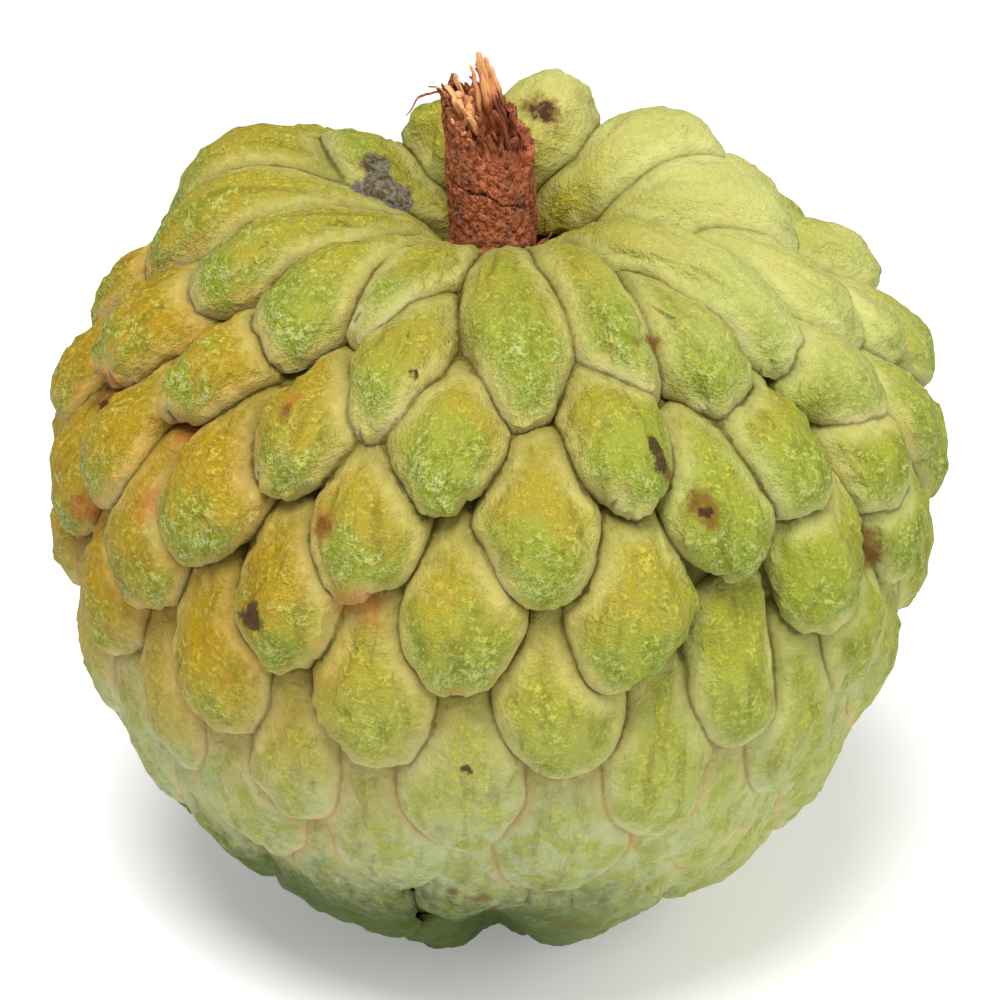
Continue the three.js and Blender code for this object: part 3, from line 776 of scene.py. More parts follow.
def fruit_tree(sizes_of, template, material):
    graph = GeometryGraph("fused_scales")
    seeds = graph.geometry()
    template_object = graph.input("Template", template, "Object")
    skin_material = graph.input("Material", material, "Material")
    sizes = {name: graph.input(name, value) for name, value in sizes_of.items()}
    side = side_curve(graph, sizes)
    half_ball = graph.add("GeometryNodeObjectInfo", {"Object": template_object}, "Geometry")
    scales = graph.triangles(bent_scales(graph, seeds, half_ball, side))
    number = graph.attribute("scale", "INT")
    each = graph.add("GeometryNodeSplitToInstances", {"Geometry": scales, "Group ID": number})
    whole = graph.boolean("UNION", graph.triangles(flesh(graph, side, sizes)), each)
    below = graph.add("GeometryNodeMeshCube", {"Size": GROUND["size"]}, "Mesh")
    inputs = {"Geometry": below, "Translation": GROUND["middle"]}
    below = graph.add("GeometryNodeTransform", inputs)
    skin = outer_skin(graph, whole)
    skin = seam_distance(graph, kept_place(graph, skin, scales))
    skin = graph.boolean("DIFFERENCE", graph.triangles(weathered(graph, skin)), below)
    skin = smoothed(graph, graph.triangles(outer_skin(graph, skin)))
    graph.finish(skin, skin_material)
    return graph


def mark_skin(mesh):
    """Store how near each vertex is to the marks of each kind: 1 on a mark and 0 out of reach."""
    places = np.empty(len(mesh.vertices) * 3)
    mesh.vertices.foreach_get("co", places)
    places = places.reshape(-1, 3) / MM
    for kind, spots in MARKS.items():
        nearness = np.zeros(len(places))
        for spot, reach in spots:
            away = np.linalg.norm(places - np.array(spot), axis=1)
            nearness = np.maximum(nearness, 1 - away / (2 * reach))
        mesh.attributes.new(kind, "FLOAT", "POINT").data.foreach_set("value", nearness)


# ---------------------------------------------------------------- the stem's shape


def stem_axis(height):
    """Sideways place of the stem's axis, for a number or for a field."""
    if isinstance(height, Field):
        return (height - STEM_STRAIGHT).math("MAXIMUM", 0.0) * STEM_LEAN + STEM_SHIFT
    return STEM_SHIFT + STEM_LEAN * max(height - STEM_STRAIGHT, 0.0)


def broken_at(x, y, height):
    """Height of the slanting break at a place next to the stem's axis."""
    return x * BREAK_SLOPE[0] + y * BREAK_SLOPE[1] + height


def bark_tube(graph, sizes):
    """The bark: a tube closed at its foot, with a cup that the torn wood stands in."""
    ball, x, y, angle = unit_ball(graph, BARK_SIDES, BARK_LEVELS)
    share = 1.0 - angle / math.pi
    turn = y.math("ARCTAN2", x)
    flat_x = turn.math("COSINE")
    flat_y = turn.math("SINE")
    foot, edge, inside, cup = BARK_TURNS.values()
    inward = graph.ramp(share, edge, inside) * sizes["wall"]
    centred = graph.ramp(share, cup, 1.0) * (sizes["radius"] - sizes["wall"])
    radius = graph.ramp(share, 0.0, foot) * sizes["radius"] - inward - centred
    rim = graph.combine(flat_x * TORN_EDGE["ring"], flat_y * TORN_EDGE["ring"], 4.0)
    torn = (graph.noise(rim, TORN_EDGE["waves"], 4.0, 0.75) - 0.5) * TORN_EDGE["height"]
    rim_x = flat_x * sizes["radius"]
    rim_y = flat_y * sizes["radius"]
    top = broken_at(rim_x, rim_y, sizes["break_height"]) + torn + TORN_EDGE["lift"]
    wall = graph.ramp(share, foot, edge) * (top - sizes["foot"])
    height = wall + sizes["foot"] - graph.ramp(share, inside, cup) * sizes["cup"]
    spot = graph.combine(flat_x * radius, flat_y * radius, height)
    ridges = graph.combine(flat_x * radius, flat_y * radius, height * BARK_LUMPS["stretch"])
    grains = (graph.noise(spot, BARK_GRAINS["waves"], 4.0, 0.7) - 0.5) * BARK_GRAINS["height"]
    lumps = (graph.noise(ridges, BARK_LUMPS["waves"]) - 0.5) * BARK_LUMPS["height"]
    wander = (graph.noise(spot, 0.6) - 0.5) * CRACK["wander"]
    crack = height - (rim_x * CRACK["slope"] + wander + CRACK["height"])
    crack = (-((crack / CRACK["width"]) ** 2.0)).math("EXPONENT") * flat_y.math("LESS_THAN", 0.2)
    over_foot = graph.smooth(height, sizes["foot"], sizes["foot"] + 1.0)
    rough = grains + lumps - crack * CRACK["depth"]
    full = radius + rough * over_foot * graph.smooth(share, 0.99, 0.9)
    place = graph.combine(stem_axis(height) + flat_x * full, flat_y * full, height)
    tube = graph.store(ball, "crack", crack)
    tube = graph.store(tube, "hollow", graph.smooth(share, edge + 0.01, inside + 0.02))
    return graph.move(tube, position=place)


def wood_core(graph, sizes):
    """The torn wood in the bark's cup, ridged along its fibres."""
    ball, x, y, angle = unit_ball(graph, WOOD_SIDES, WOOD_LEVELS)
    share = 1.0 - angle / math.pi
    turn = y.math("ARCTAN2", x)
    foot, side = WOOD_TURNS.values()
    widest = sizes["radius"] - TORN_WOOD["inset"]
    radius = (graph.ramp(share, 0.0, foot) - graph.ramp(share, side, 1.0)) * widest
    flat_x = turn.math("COSINE") * radius
    flat_y = turn.math("SINE") * radius
    fibres = graph.combine(flat_x * 2.4 + flat_y * 0.5, flat_y * 0.8 - flat_x * 0.2, 2.0)
    torn = (graph.noise(fibres, TORN_WOOD["waves"], 4.0, 0.7) - 0.5) * TORN_WOOD["height"]
    top = broken_at(flat_x, flat_y, sizes["break_height"])
    top = top + torn * graph.smooth(radius, widest, 2.0)
    bottom = sizes["break_height"] - TORN_WOOD["foot"]
    height = graph.ramp(share, foot, side) * (top - bottom) + bottom
    place = graph.combine(stem_axis(height) + flat_x, flat_y, height)
    return graph.move(ball, position=place)


def fine_splinter(place, sizes):
    """One of the many short splinters, spread over the break like seeds in a flower."""
    fine = FINE_SPLINTERS
    out = (sizes["radius"] - fine["inset"]) * math.sqrt((place + 0.5) / fine["count"])
    turn = math.radians(fine["turn"] * place)
    x = out * math.cos(turn)
    y = out * math.sin(turn)
    low = broken_at(x, y, sizes["break_height"]) - fine["sink"]
    length = fine["length"] * (1 + SPLINTER_STRAY["length"] * jitter(place, 31)) - 0.15 * x
    lean = fine["lean"] + SPLINTER_STRAY["lean"] * jitter(place, 32)
    forward = SPLINTER_STRAY["forward"] * jitter(place, 33) + fine["forward"]
    start = (stem_axis(low) + x, y, low)
    end = (start[0] + lean, y + forward, low + length + fine["rise"])
    width = fine["width"] * (1 + SPLINTER_STRAY["width"] * jitter(place, 34))
    bow = SPLINTER_STRAY["bow"] * jitter(place, 35)
    return {"root": start, "tip": end, "bow": bow, "width": width}


def strand_seeds(name, strands):
    """One point for each strand, which carries its two ends, its bow and its width."""
    mesh = bpy.data.meshes.new(name)
    mesh.from_pydata([(0.0, 0.0, 0.0)] * len(strands), [], [])
    for end in ("root", "tip"):
        values = mesh.attributes.new(end, "FLOAT_VECTOR", "POINT")
        values.data.foreach_set("vector", [number for strand in strands for number in strand[end]])
    for number in ("bow", "width"):
        values = mesh.attributes.new(number, "FLOAT", "POINT")
        values.data.foreach_set("value", [strand[number] for strand in strands])
    return add_object(name, mesh)


def strands(graph, seeds, thinness):
    """Ragged flat strands that run from their roots to their tips and end in a point."""
    inputs = {"Count": STRAND_STEPS, "Offset": (0.0, 0.0, 1.0 / (STRAND_STEPS - 1))}
    line = graph.add("GeometryNodeMeshLine", inputs)
    placed = graph.add("GeometryNodeInstanceOnPoints", {"Points": seeds, "Instance": line})
    lines = graph.add("GeometryNodeRealizeInstances", {"Geometry": placed})
    along = graph.separate(graph.position())[2]
    lines = graph.store(lines, "along", along)
    root = graph.attribute("root", "FLOAT_VECTOR")
    tip = graph.attribute("tip", "FLOAT_VECTOR")
    inputs = {"Factor": along, "A": root, "B": tip}
    straight = graph.add("ShaderNodeMix", inputs, "Result", data_type="VECTOR")
    bow = (along * math.pi).math("SINE") * graph.attribute("bow")
    sway = graph.also(graph.noise(straight, STRAND_SWAY["waves"]), "Color")
    sway = graph.vector("SUBTRACT", sway, (0.5, 0.5, 0.5))
    sway = graph.vector("SCALE", sway, scale=along * (1.3 - along) * STRAND_SWAY["reach"])
    bent = graph.vector("ADD", graph.vector("ADD", straight, graph.combine(0.0, 0.0, bow)), sway)
    curves = graph.add("GeometryNodeMeshToCurve", {"Mesh": graph.move(lines, position=bent)})
    ragged = graph.noise(graph.position(), STRAND_RAGS["waves"], 3.0, 0.7)
    ragged = ragged * STRAND_RAGS["share"] + STRAND_RAGS["least"]
    narrow = 1.0 - graph.attribute("along") ** STRAND_TAPER["power"]
    narrow = narrow * STRAND_TAPER["share"] + STRAND_TAPER["tip"]
    radius = graph.attribute("width") * narrow * ragged
    ring = graph.add("GeometryNodeCurvePrimitiveCircle", {"Resolution": STRAND_SIDES, "Radius": 1.0})
    inputs = {"Geometry": ring, "Scale": graph.combine(1.0, thinness, 1.0)}
    flat = graph.add("GeometryNodeTransform", inputs)
    inputs = {"Curve": curves, "Profile Curve": flat, "Scale": radius, "Fill Caps": True}
    return graph.add("GeometryNodeCurveToMesh", inputs)


def stem_tree(name, sizes_of, solid, thinness, material):
    """A tree that joins one solid of the stem with its strands."""
    graph = GeometryGraph(name)
    seeds = graph.geometry()
    piece_material = graph.input("Material", material, "Material")
    strand_thinness = graph.input("Strand thinness", thinness)
    sizes = {name: graph.input(name, value) for name, value in sizes_of.items()}
    joined = graph.tree.nodes.new("GeometryNodeJoinGeometry")
    for part in (solid(graph, sizes), strands(graph, seeds, strand_thinness)):
        plug(graph.tree, part, joined.inputs[0])
    graph.finish(smoothed(graph, Field(graph.tree, joined.outputs[0])), piece_material)
    return graph


# ---------------------------------------------------------------- materials


def srgb(red, green, blue):
    """A colour given as 0 to 255 on a screen, as the linear colour that shaders take."""

    def linear(level):
        share = level / 255
        return share / 12.92 if share <= 0.04045 else ((share + 0.055) / 1.055) ** 2.4

    return (linear(red), linear(green), linear(blue))


class MaterialGraph(Graph):
    """A material's node tree, with what its patterns are made of."""

    def __init__(self, name, roughness, specular):
        self.material = bpy.data.materials.new(name)
        self.material.use_nodes = True
        super().__init__(self.material.node_tree)
        self.shader = self.tree.nodes["Principled BSDF"]
        self.shader.inputs["Roughness"].default_value = roughness
        self.shader.inputs["Specular IOR Level"].default_value = specular
        place = self.add("ShaderNodeTexCoord", out="Object")
        self.place = self.vector("SCALE", place, scale=1 / MM)

    def attribute(self, name, out="Fac"):
        return self.add("ShaderNodeAttribute", out=out, attribute_name=name)

    def mix(self, share, first, second):
        inputs = {"Factor": share, "A": self.colour(first), "B": self.colour(second)}
        return self.add("ShaderNodeMix", inputs, "Result", data_type="RGBA")

    @staticmethod
    def colour(value):
        return value if isinstance(value, Field) else (*value, 1.0)

    def bump(self, height, distance, strength=1.0):
        inputs = {"Height": height, "Distance": distance, "Strength": strength}
        return self.add("ShaderNodeBump", inputs, "Normal")

    def finish(self, colour, normal=None):
        plug(self.tree, colour, self.shader.inputs["Base Color"])
        plug(self.tree, normal, self.shader.inputs["Normal"])
        return self.material


def skin_noises(graph):
    """The distances and noises that the skin's colours are made of, from broad to fine."""
    of = SimpleNamespace()
    of.x, _, of.z = graph.separate(graph.place)
    of.across, of.along, of.number = graph.separate(graph.attribute("place", "Vector"))
    of.seam = graph.attribute("seam")
    of.chance = (of.number * 0.618).math("FRACT") - 0.5
    of.patches = graph.noise(graph.place, 0.11, 3.0, 0.55)
    of.drift = graph.noise(graph.place, 0.36, 3.0, 0.6)
    of.clumps = graph.noise(graph.place, 0.95, 4.0, 0.7)
    of.granules = graph.noise(graph.place, 2.2, 3.0, 0.65)
    of.dust = graph.noise(graph.place, 5.0, 2.0, 0.6)
    of.ragged = of.seam + (graph.noise(graph.place, 1.6, 2.0) - 0.5) * 0.35
    return of


def skin_zones(graph, of):
    """Add the shares of each zone: of the fruit first, and then of each scale."""
    patchy = of.patches - 0.5
    drifting = (of.drift - 0.5) * 12.0
    of.upper = graph.smooth(of.z + patchy * 16.0, 26.0, 48.0)
    of.warm = graph.smooth(of.z - of.x * 0.3 + patchy * 20.0, 40.0, 58.0)
    of.crown = graph.smooth(of.z, 66.0, 76.0)
    of.left = graph.smooth(of.x + of.z * 0.2 + drifting, 6.0, -22.0)
    of.right = graph.smooth(of.x + drifting, 3.0, 18.0)
    # The top of the crown's right: smoother, and paler partly from painted light on the lit top.
    of.bare_and_top_light = graph.smooth(of.x * 0.5 + of.z, 76.0, 86.0)
    of.tip = graph.smooth(of.along + of.drift * 0.6 - 0.3, -0.1, 0.9) * (of.upper * 0.7 + 0.3)
    wavy_seam = of.seam + (of.clumps - 0.5) * 2.8
    of.inner = graph.smooth(wavy_seam, 0.3, 3.0) * (1.0 - of.bare_and_top_light * 0.3)
    of.grown = graph.smooth(of.clumps * 0.5 + of.granules * 0.5, 0.38, 0.58)


def smooth_skin(graph, of, colours):
    """The pale skin between the speckles, creamy on the left and greener on the right."""
    pale = graph.mix(of.upper, colours.lower, colours.pale)
    peach = of.left * graph.smooth(of.patches, 0.25, 0.5) * of.upper * (1.0 - of.crown * 0.7)
    pale = graph.mix(peach, pale, colours.cream)
    pale = graph.mix(of.crown * graph.smooth(of.drift, 0.35, 0.6) * 0.6, pale, colours.cool)
    cool = of.right * graph.smooth(of.patches + of.drift * 0.3, 0.4, 0.75)
    return graph.mix(cool * 0.8, pale, colours.cool)


def ripened(graph, of, colours, skin):
    """The scales' middles: green or olive, golden on the left, and greener at the tips, partly their
    own colour and partly painted shade.
    """
    ripe = of.patches + of.drift * 0.6 + of.left * 0.3 - of.right * 0.2 - of.tip * 0.4
    ripe = ripe + of.chance * 0.18
    ripe = graph.smooth(ripe, 0.5, 0.76) * (of.warm * 0.8 + 0.2) * (1.0 - of.crown * 0.4)
    middle = graph.mix(ripe, colours.green, colours.olive)
    skin = graph.mix(of.inner * (of.grown * 0.45 + 0.55) * (of.upper * 0.75 + 0.25), skin, middle)
    golden = of.patches * 0.5 + of.left * 0.55 - of.tip * 0.3 + of.drift * 0.6 - of.right * 0.3
    golden = golden + of.chance * 0.12
    golden = graph.smooth(golden, 0.54, 0.84) * graph.smooth(of.clumps, 0.3, 0.56)
    golden = golden * (of.warm * 0.85 + 0.15) * (1.0 - of.crown * 0.7)
    skin = graph.mix(golden * (of.inner * 0.8 + 0.15), skin, colours.golden)
    # Greener towards each tip, partly its own colour and partly painted shade.
    tip_green_and_shade = of.drift * 0.6 + of.clumps * 0.4 + of.tip * 0.22 + of.right * 0.06
    tip_green_and_shade = graph.smooth(tip_green_and_shade, 0.56, 0.7)
    return graph.mix(tip_green_and_shade * of.tip * of.inner * 0.8, skin, colours.fresh)


def speckled(graph, of, colours, skin):
    """Streaks, pale grains, dark pits, blotches low down and the waxy bloom."""
    place = graph.combine(of.across * 5.0 + of.number * 3.1, of.along * 1.6, of.number * 1.7)
    streaks = graph.smooth(graph.noise(place, 1.0, 3.0, 0.6), 0.5, 0.66)
    skin = graph.mix(streaks * of.inner * 0.4, skin, colours.pit)
    grainy = graph.smooth(of.drift, 0.3, 0.62) * 0.7 + 0.3
    light = graph.smooth(of.granules + (of.clumps - 0.5) * 0.5, 0.5, 0.66)
    skin = graph.mix(light * (of.inner * 0.8 + 0.2) * grainy * 0.55, skin, colours.fleck)
    dark = graph.smooth(of.granules + (of.clumps - 0.5) * 0.9, 0.47, 0.3)
    dark = dark * (of.inner * 0.9 + 0.1) * grainy * (of.upper * 0.2 + 0.25)
    skin = graph.mix(dark, skin, colours.pit)
    # Pale patches on the crown's top, partly its own pale skin and partly painted light.
    skin = graph.mix(of.bare_and_top_light * of.patches * 0.8, skin, colours.bare_and_top_light)
    blotches = graph.smooth(of.drift * 0.7 + of.clumps * 0.3, 0.47, 0.58) * (1.0 - of.upper)
    skin = graph.mix(blotches * 0.5, skin, colours.green)
    bloom = graph.smooth(of.clumps * 0.5 + of.dust * 0.5 + of.tip * 0.06, 0.53, 0.66) * of.tip
    return graph.mix(bloom * 0.5, skin, colours.bloom)


def furrowed(graph, of, colours, skin):
    """Pale rims that are partly painted highlight, furrow lines and painted furrow shade that fade to
    the right, beige clefts and painted shade on the underside.
    """
    # The pale rim round each tip is partly its own paler edge and partly a painted highlight.
    rim = graph.smooth(of.ragged, 0.9, 0.3) * graph.smooth(of.along, 0.35, 0.8)
    skin = graph.mix(rim * (of.upper * 0.6 + 0.4) * 0.7, skin, colours.rim)
    faint = of.upper * 0.6 + graph.smooth(of.patches, 0.35, 0.6) * 0.4
    faint = faint * (1.0 - of.bare_and_top_light * 0.6 - graph.smooth(of.x, 20.0, 36.0) * 0.4)
    # Painted shadow at each scale's root under the tip of the scale above, and a band of painted shade
    # along each furrow.
    painted_tip_shadow = graph.smooth(of.ragged, 3.0, 0.0) * graph.smooth(of.along, 0.0, -0.5)
    skin = graph.mix(painted_tip_shadow * faint * 0.45, skin, colours.painted_furrow_shade)
    skin = graph.mix(graph.smooth(of.ragged, 1.4, 0.05) * faint * 0.55, skin, colours.painted_furrow_shade)
    # The thin dark line in each furrow is partly the seam's own colour and partly painted shade.
    skin = graph.mix(graph.smooth(of.ragged, 0.3, 0.0) * faint * 0.75, skin, colours.furrow)
    cleft = graph.smooth(of.ragged + (of.clumps - 0.5) * 1.5, 1.2, 0.1)
    cleft = cleft * graph.smooth(of.patches + of.drift * 0.4, 0.55, 0.8)
    skin = graph.mix(cleft * (1.0 - of.upper) * 0.6, skin, colours.cleft)
    # Painted shade on the underside: darker green towards the bottom, on the left and middle.
    level = of.z + (of.patches - 0.5) * 10.0 + (of.clumps - 0.5) * 14.0
    under = graph.smooth(level, 25.0, 14.0)
    return graph.mix(under * 0.88 * graph.smooth(of.x, 22.0, 2.0), skin, colours.under)


def blemished(graph, of, colours, skin):
    """The marks of each kind, with ragged edges."""
    stain = (of.drift - 0.5) * 0.8 + (of.clumps - 0.5) * 0.9 + (of.granules - 0.5) * 0.4
    blush = graph.smooth(graph.attribute("blush") + stain, 0.25, 0.95)
    skin = graph.mix(blush * 0.6, skin, colours.blush)
    bruise = graph.smooth(graph.attribute("bruise") + stain, 0.35, 0.8)
    skin = graph.mix(bruise * 0.8, skin, colours.bruise)
    ash = graph.smooth(graph.attribute("ash") + stain * 0.6, 0.4, 0.6)
    mould = graph.mix(graph.smooth(of.granules, 0.4, 0.6), colours.scab, colours.ash)
    skin = graph.mix(ash * 0.85, skin, mould)
    scab = graph.smooth(graph.attribute("scab") + stain, 0.4, 0.65)
    return graph.mix(scab * 0.9, skin, colours.scab)


def skin_material(colours):
    graph = MaterialGraph("custard_apple_skin", roughness=0.6, specular=0.14)
    of = skin_noises(graph)
    skin_zones(graph, of)
    skin = smooth_skin(graph, of, colours)
    for layer in (ripened, speckled, furrowed, blemished):
        skin = layer(graph, of, colours, skin)
    relief = of.clumps * 0.5 + of.granules * 0.35 + of.dust * 0.15
    return graph.finish(skin, graph.bump(relief * (of.inner * 0.6 + 0.4), 1.1 * MM, 0.8))


def bark_material(colours):
    graph = MaterialGraph("stem_bark", roughness=0.88, specular=0.2)
    place = graph.place
    x, y, z = graph.separate(place)
    stretched = graph.combine(x, y, z * 0.5)
    grain = graph.noise(place, 1.5, 5.0, 0.7)
    streaks = graph.noise(stretched, 0.8, 3.0, 0.6)
    crumbs = graph.noise(place, 2.6, 3.0, 0.6)
    crack = graph.attribute("crack")
    hollow = graph.attribute("hollow")
    torn = graph.smooth(z + streaks * 4.0, 80.0, 85.0)
    # The light bark is partly its own lighter grain and partly a painted highlight on the raised
    # grains.
    bark = graph.mix(graph.smooth(grain, 0.38, 0.6), colours.bark, colours.bark_light)
    bark = graph.mix(graph.smooth(streaks, 0.52, 0.66) * 0.7, bark, colours.bark_grey)
    # The dark bark is partly its own dark colour and partly painted shade in the pits and the crack.
    bark = graph.mix(graph.smooth(crumbs, 0.46, 0.32) * 0.9, bark, colours.bark_dark)
    bark = graph.mix(torn * graph.smooth(crumbs, 0.6, 0.4) * 0.7, bark, colours.bark_dark)
    bark = graph.mix(graph.smooth(crack, 0.4, 1.0) * 0.9, bark, colours.bark_dark)
    bark = graph.mix(hollow * graph.smooth(grain, 0.4, 0.6), bark, colours.wood_dark)
    relief = grain * 0.6 + crumbs * 0.4
    return graph.finish(bark, graph.bump(relief, 0.6 * MM, 1.0))


def wood_material(colours):
    graph = MaterialGraph("torn_wood_fibres", roughness=0.8, specular=0.25)
    x, y, z = graph.separate(graph.place)
    slanted = graph.combine(x + z * 0.3, y, z * 0.15)
    fibres = graph.noise(slanted, 2.8, 4.0, 0.65)
    patches = graph.noise(graph.place, 0.7, 3.0, 0.6)
    wood = graph.mix(graph.smooth(fibres, 0.4, 0.6), colours.wood_dark, colours.wood)
    stained = graph.smooth(z - x * 1.3 + (patches - 0.5) * 6.0, 86.0, 83.0)
    wood = graph.mix(stained * 0.85, wood, colours.bark)
    wood = graph.mix(graph.smooth(fibres, 0.44, 0.34) * 0.8, wood, colours.bark_dark)
    fresh = graph.smooth(z - x * 1.3 + patches * 5.0, 86.0, 89.5)
    wood = graph.mix(fresh * 0.8, wood, colours.wood_light)
    return graph.finish(wood, graph.bump(fibres, 0.4 * MM, 1.0))


def floor_material(colour, glow):
    """A matt floor that gives a little light by itself, so that it stays pale."""
    graph = MaterialGraph("pale_floor", roughness=0.9, specular=0.2)
    graph.shader.inputs["Emission Color"].default_value = WHITE
    graph.shader.inputs["Emission Strength"].default_value = glow
    return graph.finish((*colour, 1.0))


# ---------------------------------------------------------------- settings


def length(name, value, description):
    return FloatProperty(name=name, description=description, default=value * MM, unit="LENGTH")


def tint(name, red, green, blue, description):
    return FloatVectorProperty(
        name=name,
        description=description,
        default=srgb(red, green, blue),
        subtype="COLOR",
        min=0.0,
        max=1.0,
    )


class FruitSizes(bpy.types.PropertyGroup):
    """The driving dimensions of the fruit's side."""

    radius: length("Radius", 43.0, "Radius at the widest level")
    crown_rise: length("Crown rise", 29.0, "Height of the crown over the widest level")
    base_drop: length("Base drop", BASE_DROP, "Depth of the base under the widest level")
    dimple_depth: length("Dimple depth", 3.6, "Depth of the hollow round the stem")
    dimple_radius: length("Dimple radius", 9.5, "Radius of the hollow round the stem")
    flesh_inset: length("Flesh inset", 4.4, "Depth of the plain flesh under the scales' crests")
    crown_fullness: FloatProperty(
        name="Crown fullness", description="Power of the curve over the widest level", default=2.5
    )
    base_fullness: FloatProperty(
        name="Base fullness", description="Power of the curve under the widest level", default=1.96
    )


class StemSizes(bpy.types.PropertyGroup):
    """The driving dimensions of the stem stub."""

    radius: length("Radius", 4.1, "Radius of the bark")
    foot: length("Foot", 66.0, "Height of its foot, hidden in the crown")
    break_height: length("Break height", 80.6, "Height of the break on the stem's axis")
    wall: length("Bark wall", 0.75, "Thickness of the bark")
    cup: length("Cup", 2.6, "How deep the bark's torn edge stands round the wood")


class FruitColours(bpy.types.PropertyGroup):
    """Every colour of the fruit, its stem and the studio's floor; some of them hold painted shade and
    painted highlights.
    """

    pale: tint("Pale skin", 186, 174, 98, "Smooth skin near the furrows")
    cream: tint("Cream skin", 200, 160, 82, "Smooth skin towards the left")
    lower: tint("Lower skin", 170, 178, 132, "Skin of the lower third")
    olive: tint("Olive speckle", 152, 134, 6, "Ripe speckle on the scales' middles")
    green: tint("Green speckle", 134, 144, 18, "Unripe speckle on the scales' middles")
    golden: tint("Golden skin", 160, 128, 0, "Ripest skin, towards the left")
    cool: tint("Cool skin", 172, 180, 104, "Greener skin, towards the right")
    # Partly the tips' own fresher green and partly painted shade towards each tip.
    fresh: tint("Tip green", 106, 130, 14, "Fresh green of the tips")
    fleck: tint("Fleck", 210, 198, 100, "Raised pale grains")
    pit: tint("Pit", 96, 88, 4, "Hollows between the grains")
    cleft: tint("Cleft", 196, 168, 114, "Beige skin along the lower furrows")
    # Partly the crown's own pale skin and partly painted light on the lit top.
    bare_and_top_light: tint("Bare skin", 210, 206, 132, "Smooth skin of the crown's right")
    bloom: tint("Bloom", 190, 192, 140, "Waxy bloom towards the tips")
    # Partly the tips' own paler edge and partly a painted highlight along it.
    rim: tint("Rim", 200, 194, 140, "Pale rim round each tip")
    # Painted shade: this darkens the fruit's bottom, where little light reaches.
    under: tint("Underside", 50, 70, 0, "Green of the fruit's underside")
    # Painted shade along the furrows and under the tips.
    painted_furrow_shade: tint("Furrow edge", 100, 92, 14, "Skin that turns into a furrow")
    # Partly the seams' own dark line and partly painted shade in the crevices.
    furrow: tint("Furrow", 62, 52, 0, "Bottom of the furrows")
    blush: tint("Blush", 176, 92, 44, "Reddish flush")
    bruise: tint("Bruise", 112, 68, 22, "Brown bruises")
    ash: tint("Ash", 110, 106, 108, "Grey mould")
    scab: tint("Scab", 60, 32, 22, "Dark scabs")
    bark: tint("Bark", 138, 72, 44, "The stem's bark")
    # Partly the bark's own lighter grain and partly a painted highlight on its raised grains.
    bark_light: tint("Light bark", 196, 116, 76, "Raised parts of the bark")
    # Partly the bark's own dark colour and partly painted shade in its pits and crack.
    bark_dark: tint("Dark bark", 58, 26, 18, "Pits and cracks in the bark")
    bark_grey: tint("Grey bark", 118, 84, 70, "Weathered parts of the bark")
    wood: tint("Torn wood", 226, 150, 92, "Torn wood of the broken end")
    wood_dark: tint("Dark torn wood", 150, 84, 50, "Gaps between the torn fibres")
    wood_light: tint("Light torn wood", 250, 190, 130, "Freshest tips of the torn wood")
    floor: tint("Floor", 240, 240, 240, "The studio's floor")


class StudioSettings(bpy.types.PropertyGroup):
    """The camera and the light."""

    elevation: FloatProperty(
        name="Elevation",
        description="How steeply the camera looks down",
        default=math.radians(26.0),
        subtype="ANGLE",
    )
    floor_glow: FloatProperty(
        name="Floor glow", description="Light that the floor gives by itself", default=0.26
    )
    daylight: FloatProperty(
        name="Daylight", description="Strength of the light from all round", default=0.34
    )
    aim_height: length("Aim height", 47.0, "Height of the point that the camera looks at")
    distance: length("Distance", 295.8, "Distance from the camera to that point")
    lens: FloatProperty(
        name="Lens", description="Focal length in millimetres", default=110.0, subtype="DISTANCE_CAMERA"
    )


# ---------------------------------------------------------------- pieces


def finish_piece(piece, node):
    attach(piece, BODY)
    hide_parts(node)


def drop_helpers(*helpers):
    for helper in helpers:
        mesh = helper.data
        bpy.data.objects.remove(helper)
        bpy.data.meshes.remove(mesh)


def in_millimetres(settings):
    """The values of a group of settings, its lengths in millimetres."""
    sizes = {}
    for name in type(settings).__annotations__:
        is_length = settings.bl_rna.properties[name].unit == "LENGTH"
        sizes[name] = getattr(settings, name) / (MM if is_length else 1.0)
    return sizes


class CUSTARD_OT_fruit(bpy.types.Operator):
    """Build the fruit from its fused scales"""

    bl_idname = "custard.fruit"
    bl_label = "Fruit"

    def execute(self, context):
        scene = context.scene
        template = scale_template()
        seeds = scale_seeds()
        material = skin_material(scene.fruit_colours)
        graph = fruit_tree(in_millimetres(scene.fruit_sizes), template, material)
        fruit = graph.run(seeds, "fruit_skin")
        drop_helpers(seeds, template)
        mark_skin(fruit.data)
        finish_piece(fruit, "fruit")
        return {"FINISHED"}


class CUSTARD_OT_stem(bpy.types.Operator):
    """Build the stem's bark and its torn wood"""

    bl_idname = "custard.stem"
    bl_label = "Stem"

    def execute(self, context):
        colours = context.scene.fruit_colours
        sizes = in_millimetres(context.scene.stem_sizes)
        fine = [fine_splinter(place, sizes) for place in range(FINE_SPLINTERS["count"])]
        bark_seeds = strand_seeds("bark_seeds", BARK_STRIPS)
        wood_seeds = strand_seeds("wood_seeds", SPLINTERS + fine)
        bark = bark_material(colours)
        wood = wood_material(colours)
        bark_graph = stem_tree("torn_bark", sizes, bark_tube, BARK_THINNESS, bark)
        wood_graph = stem_tree("torn_fibres", sizes, wood_core, WOOD_THINNESS, wood)
        finish_piece(bark_graph.run(bark_seeds, "stem_bark"), "stem")
        finish_piece(wood_graph.run(wood_seeds, "torn_fibres"), "torn_wood")
        drop_helpers(bark_seeds, wood_seeds)
        return {"FINISHED"}


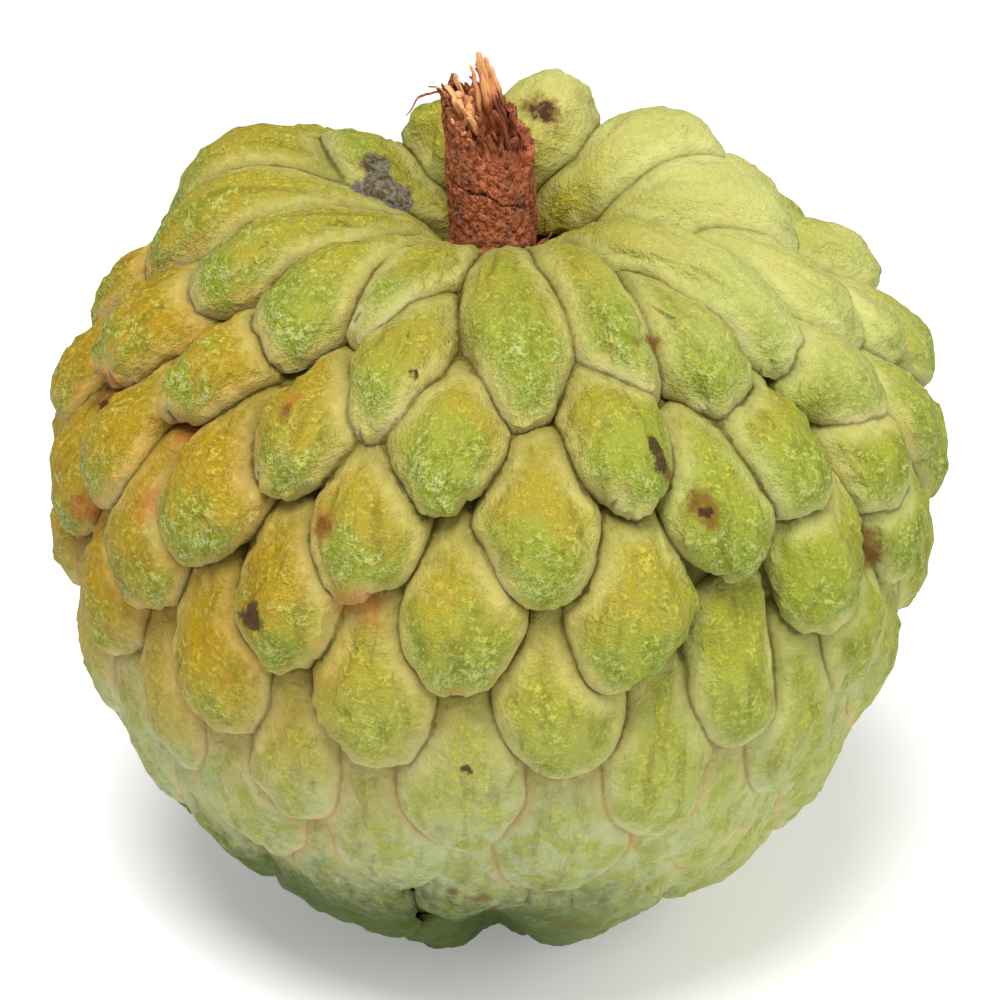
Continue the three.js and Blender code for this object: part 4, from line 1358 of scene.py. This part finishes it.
def lay_floor(scene):
    near, far = -FLOOR_REACH, FLOOR_REACH
    mesh = bpy.data.meshes.new("floor")
    corners = [(near, near, 0.0), (far, near, 0.0), (far, far, 0.0), (near, far, 0.0)]
    mesh.from_pydata(corners, [], [(0, 1, 2, 3)])
    floor = add_object("floor", mesh)
    glow = scene.studio_settings.floor_glow
    mesh.materials.append(floor_material(scene.fruit_colours.floor, glow))


def set_daylight(scene):
    world = bpy.data.worlds.new("studio_world")
    world.use_nodes = True
    background = world.node_tree.nodes["Background"]
    background.inputs["Color"].default_value = WHITE
    background.inputs["Strength"].default_value = scene.studio_settings.daylight
    scene.world = world


def soft_light(name, place, size, power):
    light = bpy.data.lights.new(name, "AREA")
    light.shape = "DISK"
    light.size = size
    light.energy = power
    made = add_object(name, light)
    made.location = place
    made.rotation_euler = (Vector(LIGHT_AIM) - Vector(place)).to_track_quat("-Z", "Y").to_euler()


def set_camera(scene):
    studio = scene.studio_settings
    camera = bpy.data.cameras.new("camera")
    camera.lens = studio.lens
    camera.sensor_width = SENSOR_WIDTH
    camera.shift_x, camera.shift_y = CAMERA_SHIFT
    camera.clip_start = NEAREST_SEEN
    made = add_object("camera", camera)
    tilt = studio.elevation
    away = studio.distance
    made.location = (0.0, -math.cos(tilt) * away, studio.aim_height + math.sin(tilt) * away)
    made.rotation_euler = (math.pi / 2 - tilt, 0.0, 0.0)
    scene.camera = made


class CUSTARD_OT_studio(bpy.types.Operator):
    """Lay the floor and set the light and the camera"""

    bl_idname = "custard.studio"
    bl_label = "Studio"

    def execute(self, context):
        lay_floor(context.scene)
        set_daylight(context.scene)
        for light in LIGHTS:
            soft_light(**light)
        set_camera(context.scene)
        context.scene.view_settings.view_transform = "Standard"
        return {"FINISHED"}


class CUSTARD_PT_panel(bpy.types.Panel):
    """Lists the settings and the operators"""

    bl_idname = "CUSTARD_PT_panel"
    bl_label = "Custard apple"
    bl_space_type = "VIEW_3D"
    bl_region_type = "UI"
    bl_category = "Custard apple"

    def draw(self, context):
        for name in SETTINGS:
            group = getattr(context.scene, name)
            for setting in type(group).__annotations__:
                self.layout.prop(group, setting)
        for operator in OPERATORS:
            self.layout.operator(operator.bl_idname)


SETTINGS = {
    "fruit_sizes": FruitSizes,
    "stem_sizes": StemSizes,
    "fruit_colours": FruitColours,
    "studio_settings": StudioSettings,
}
OPERATORS = (CUSTARD_OT_fruit, CUSTARD_OT_stem, CUSTARD_OT_studio)
CLASSES = (*SETTINGS.values(), *OPERATORS, CUSTARD_PT_panel)


def register():
    for kind in CLASSES:
        bpy.utils.register_class(kind)
    for name, kind in SETTINGS.items():
        setattr(bpy.types.Scene, name, PointerProperty(type=kind))


def unregister():
    for name in SETTINGS:
        delattr(bpy.types.Scene, name)
    for kind in reversed(CLASSES):
        bpy.utils.unregister_class(kind)


def main():
    register()
    bpy.ops.custard.fruit()
    bpy.ops.custard.stem()
    bpy.ops.custard.studio()


if __name__ == "__main__":
    main()
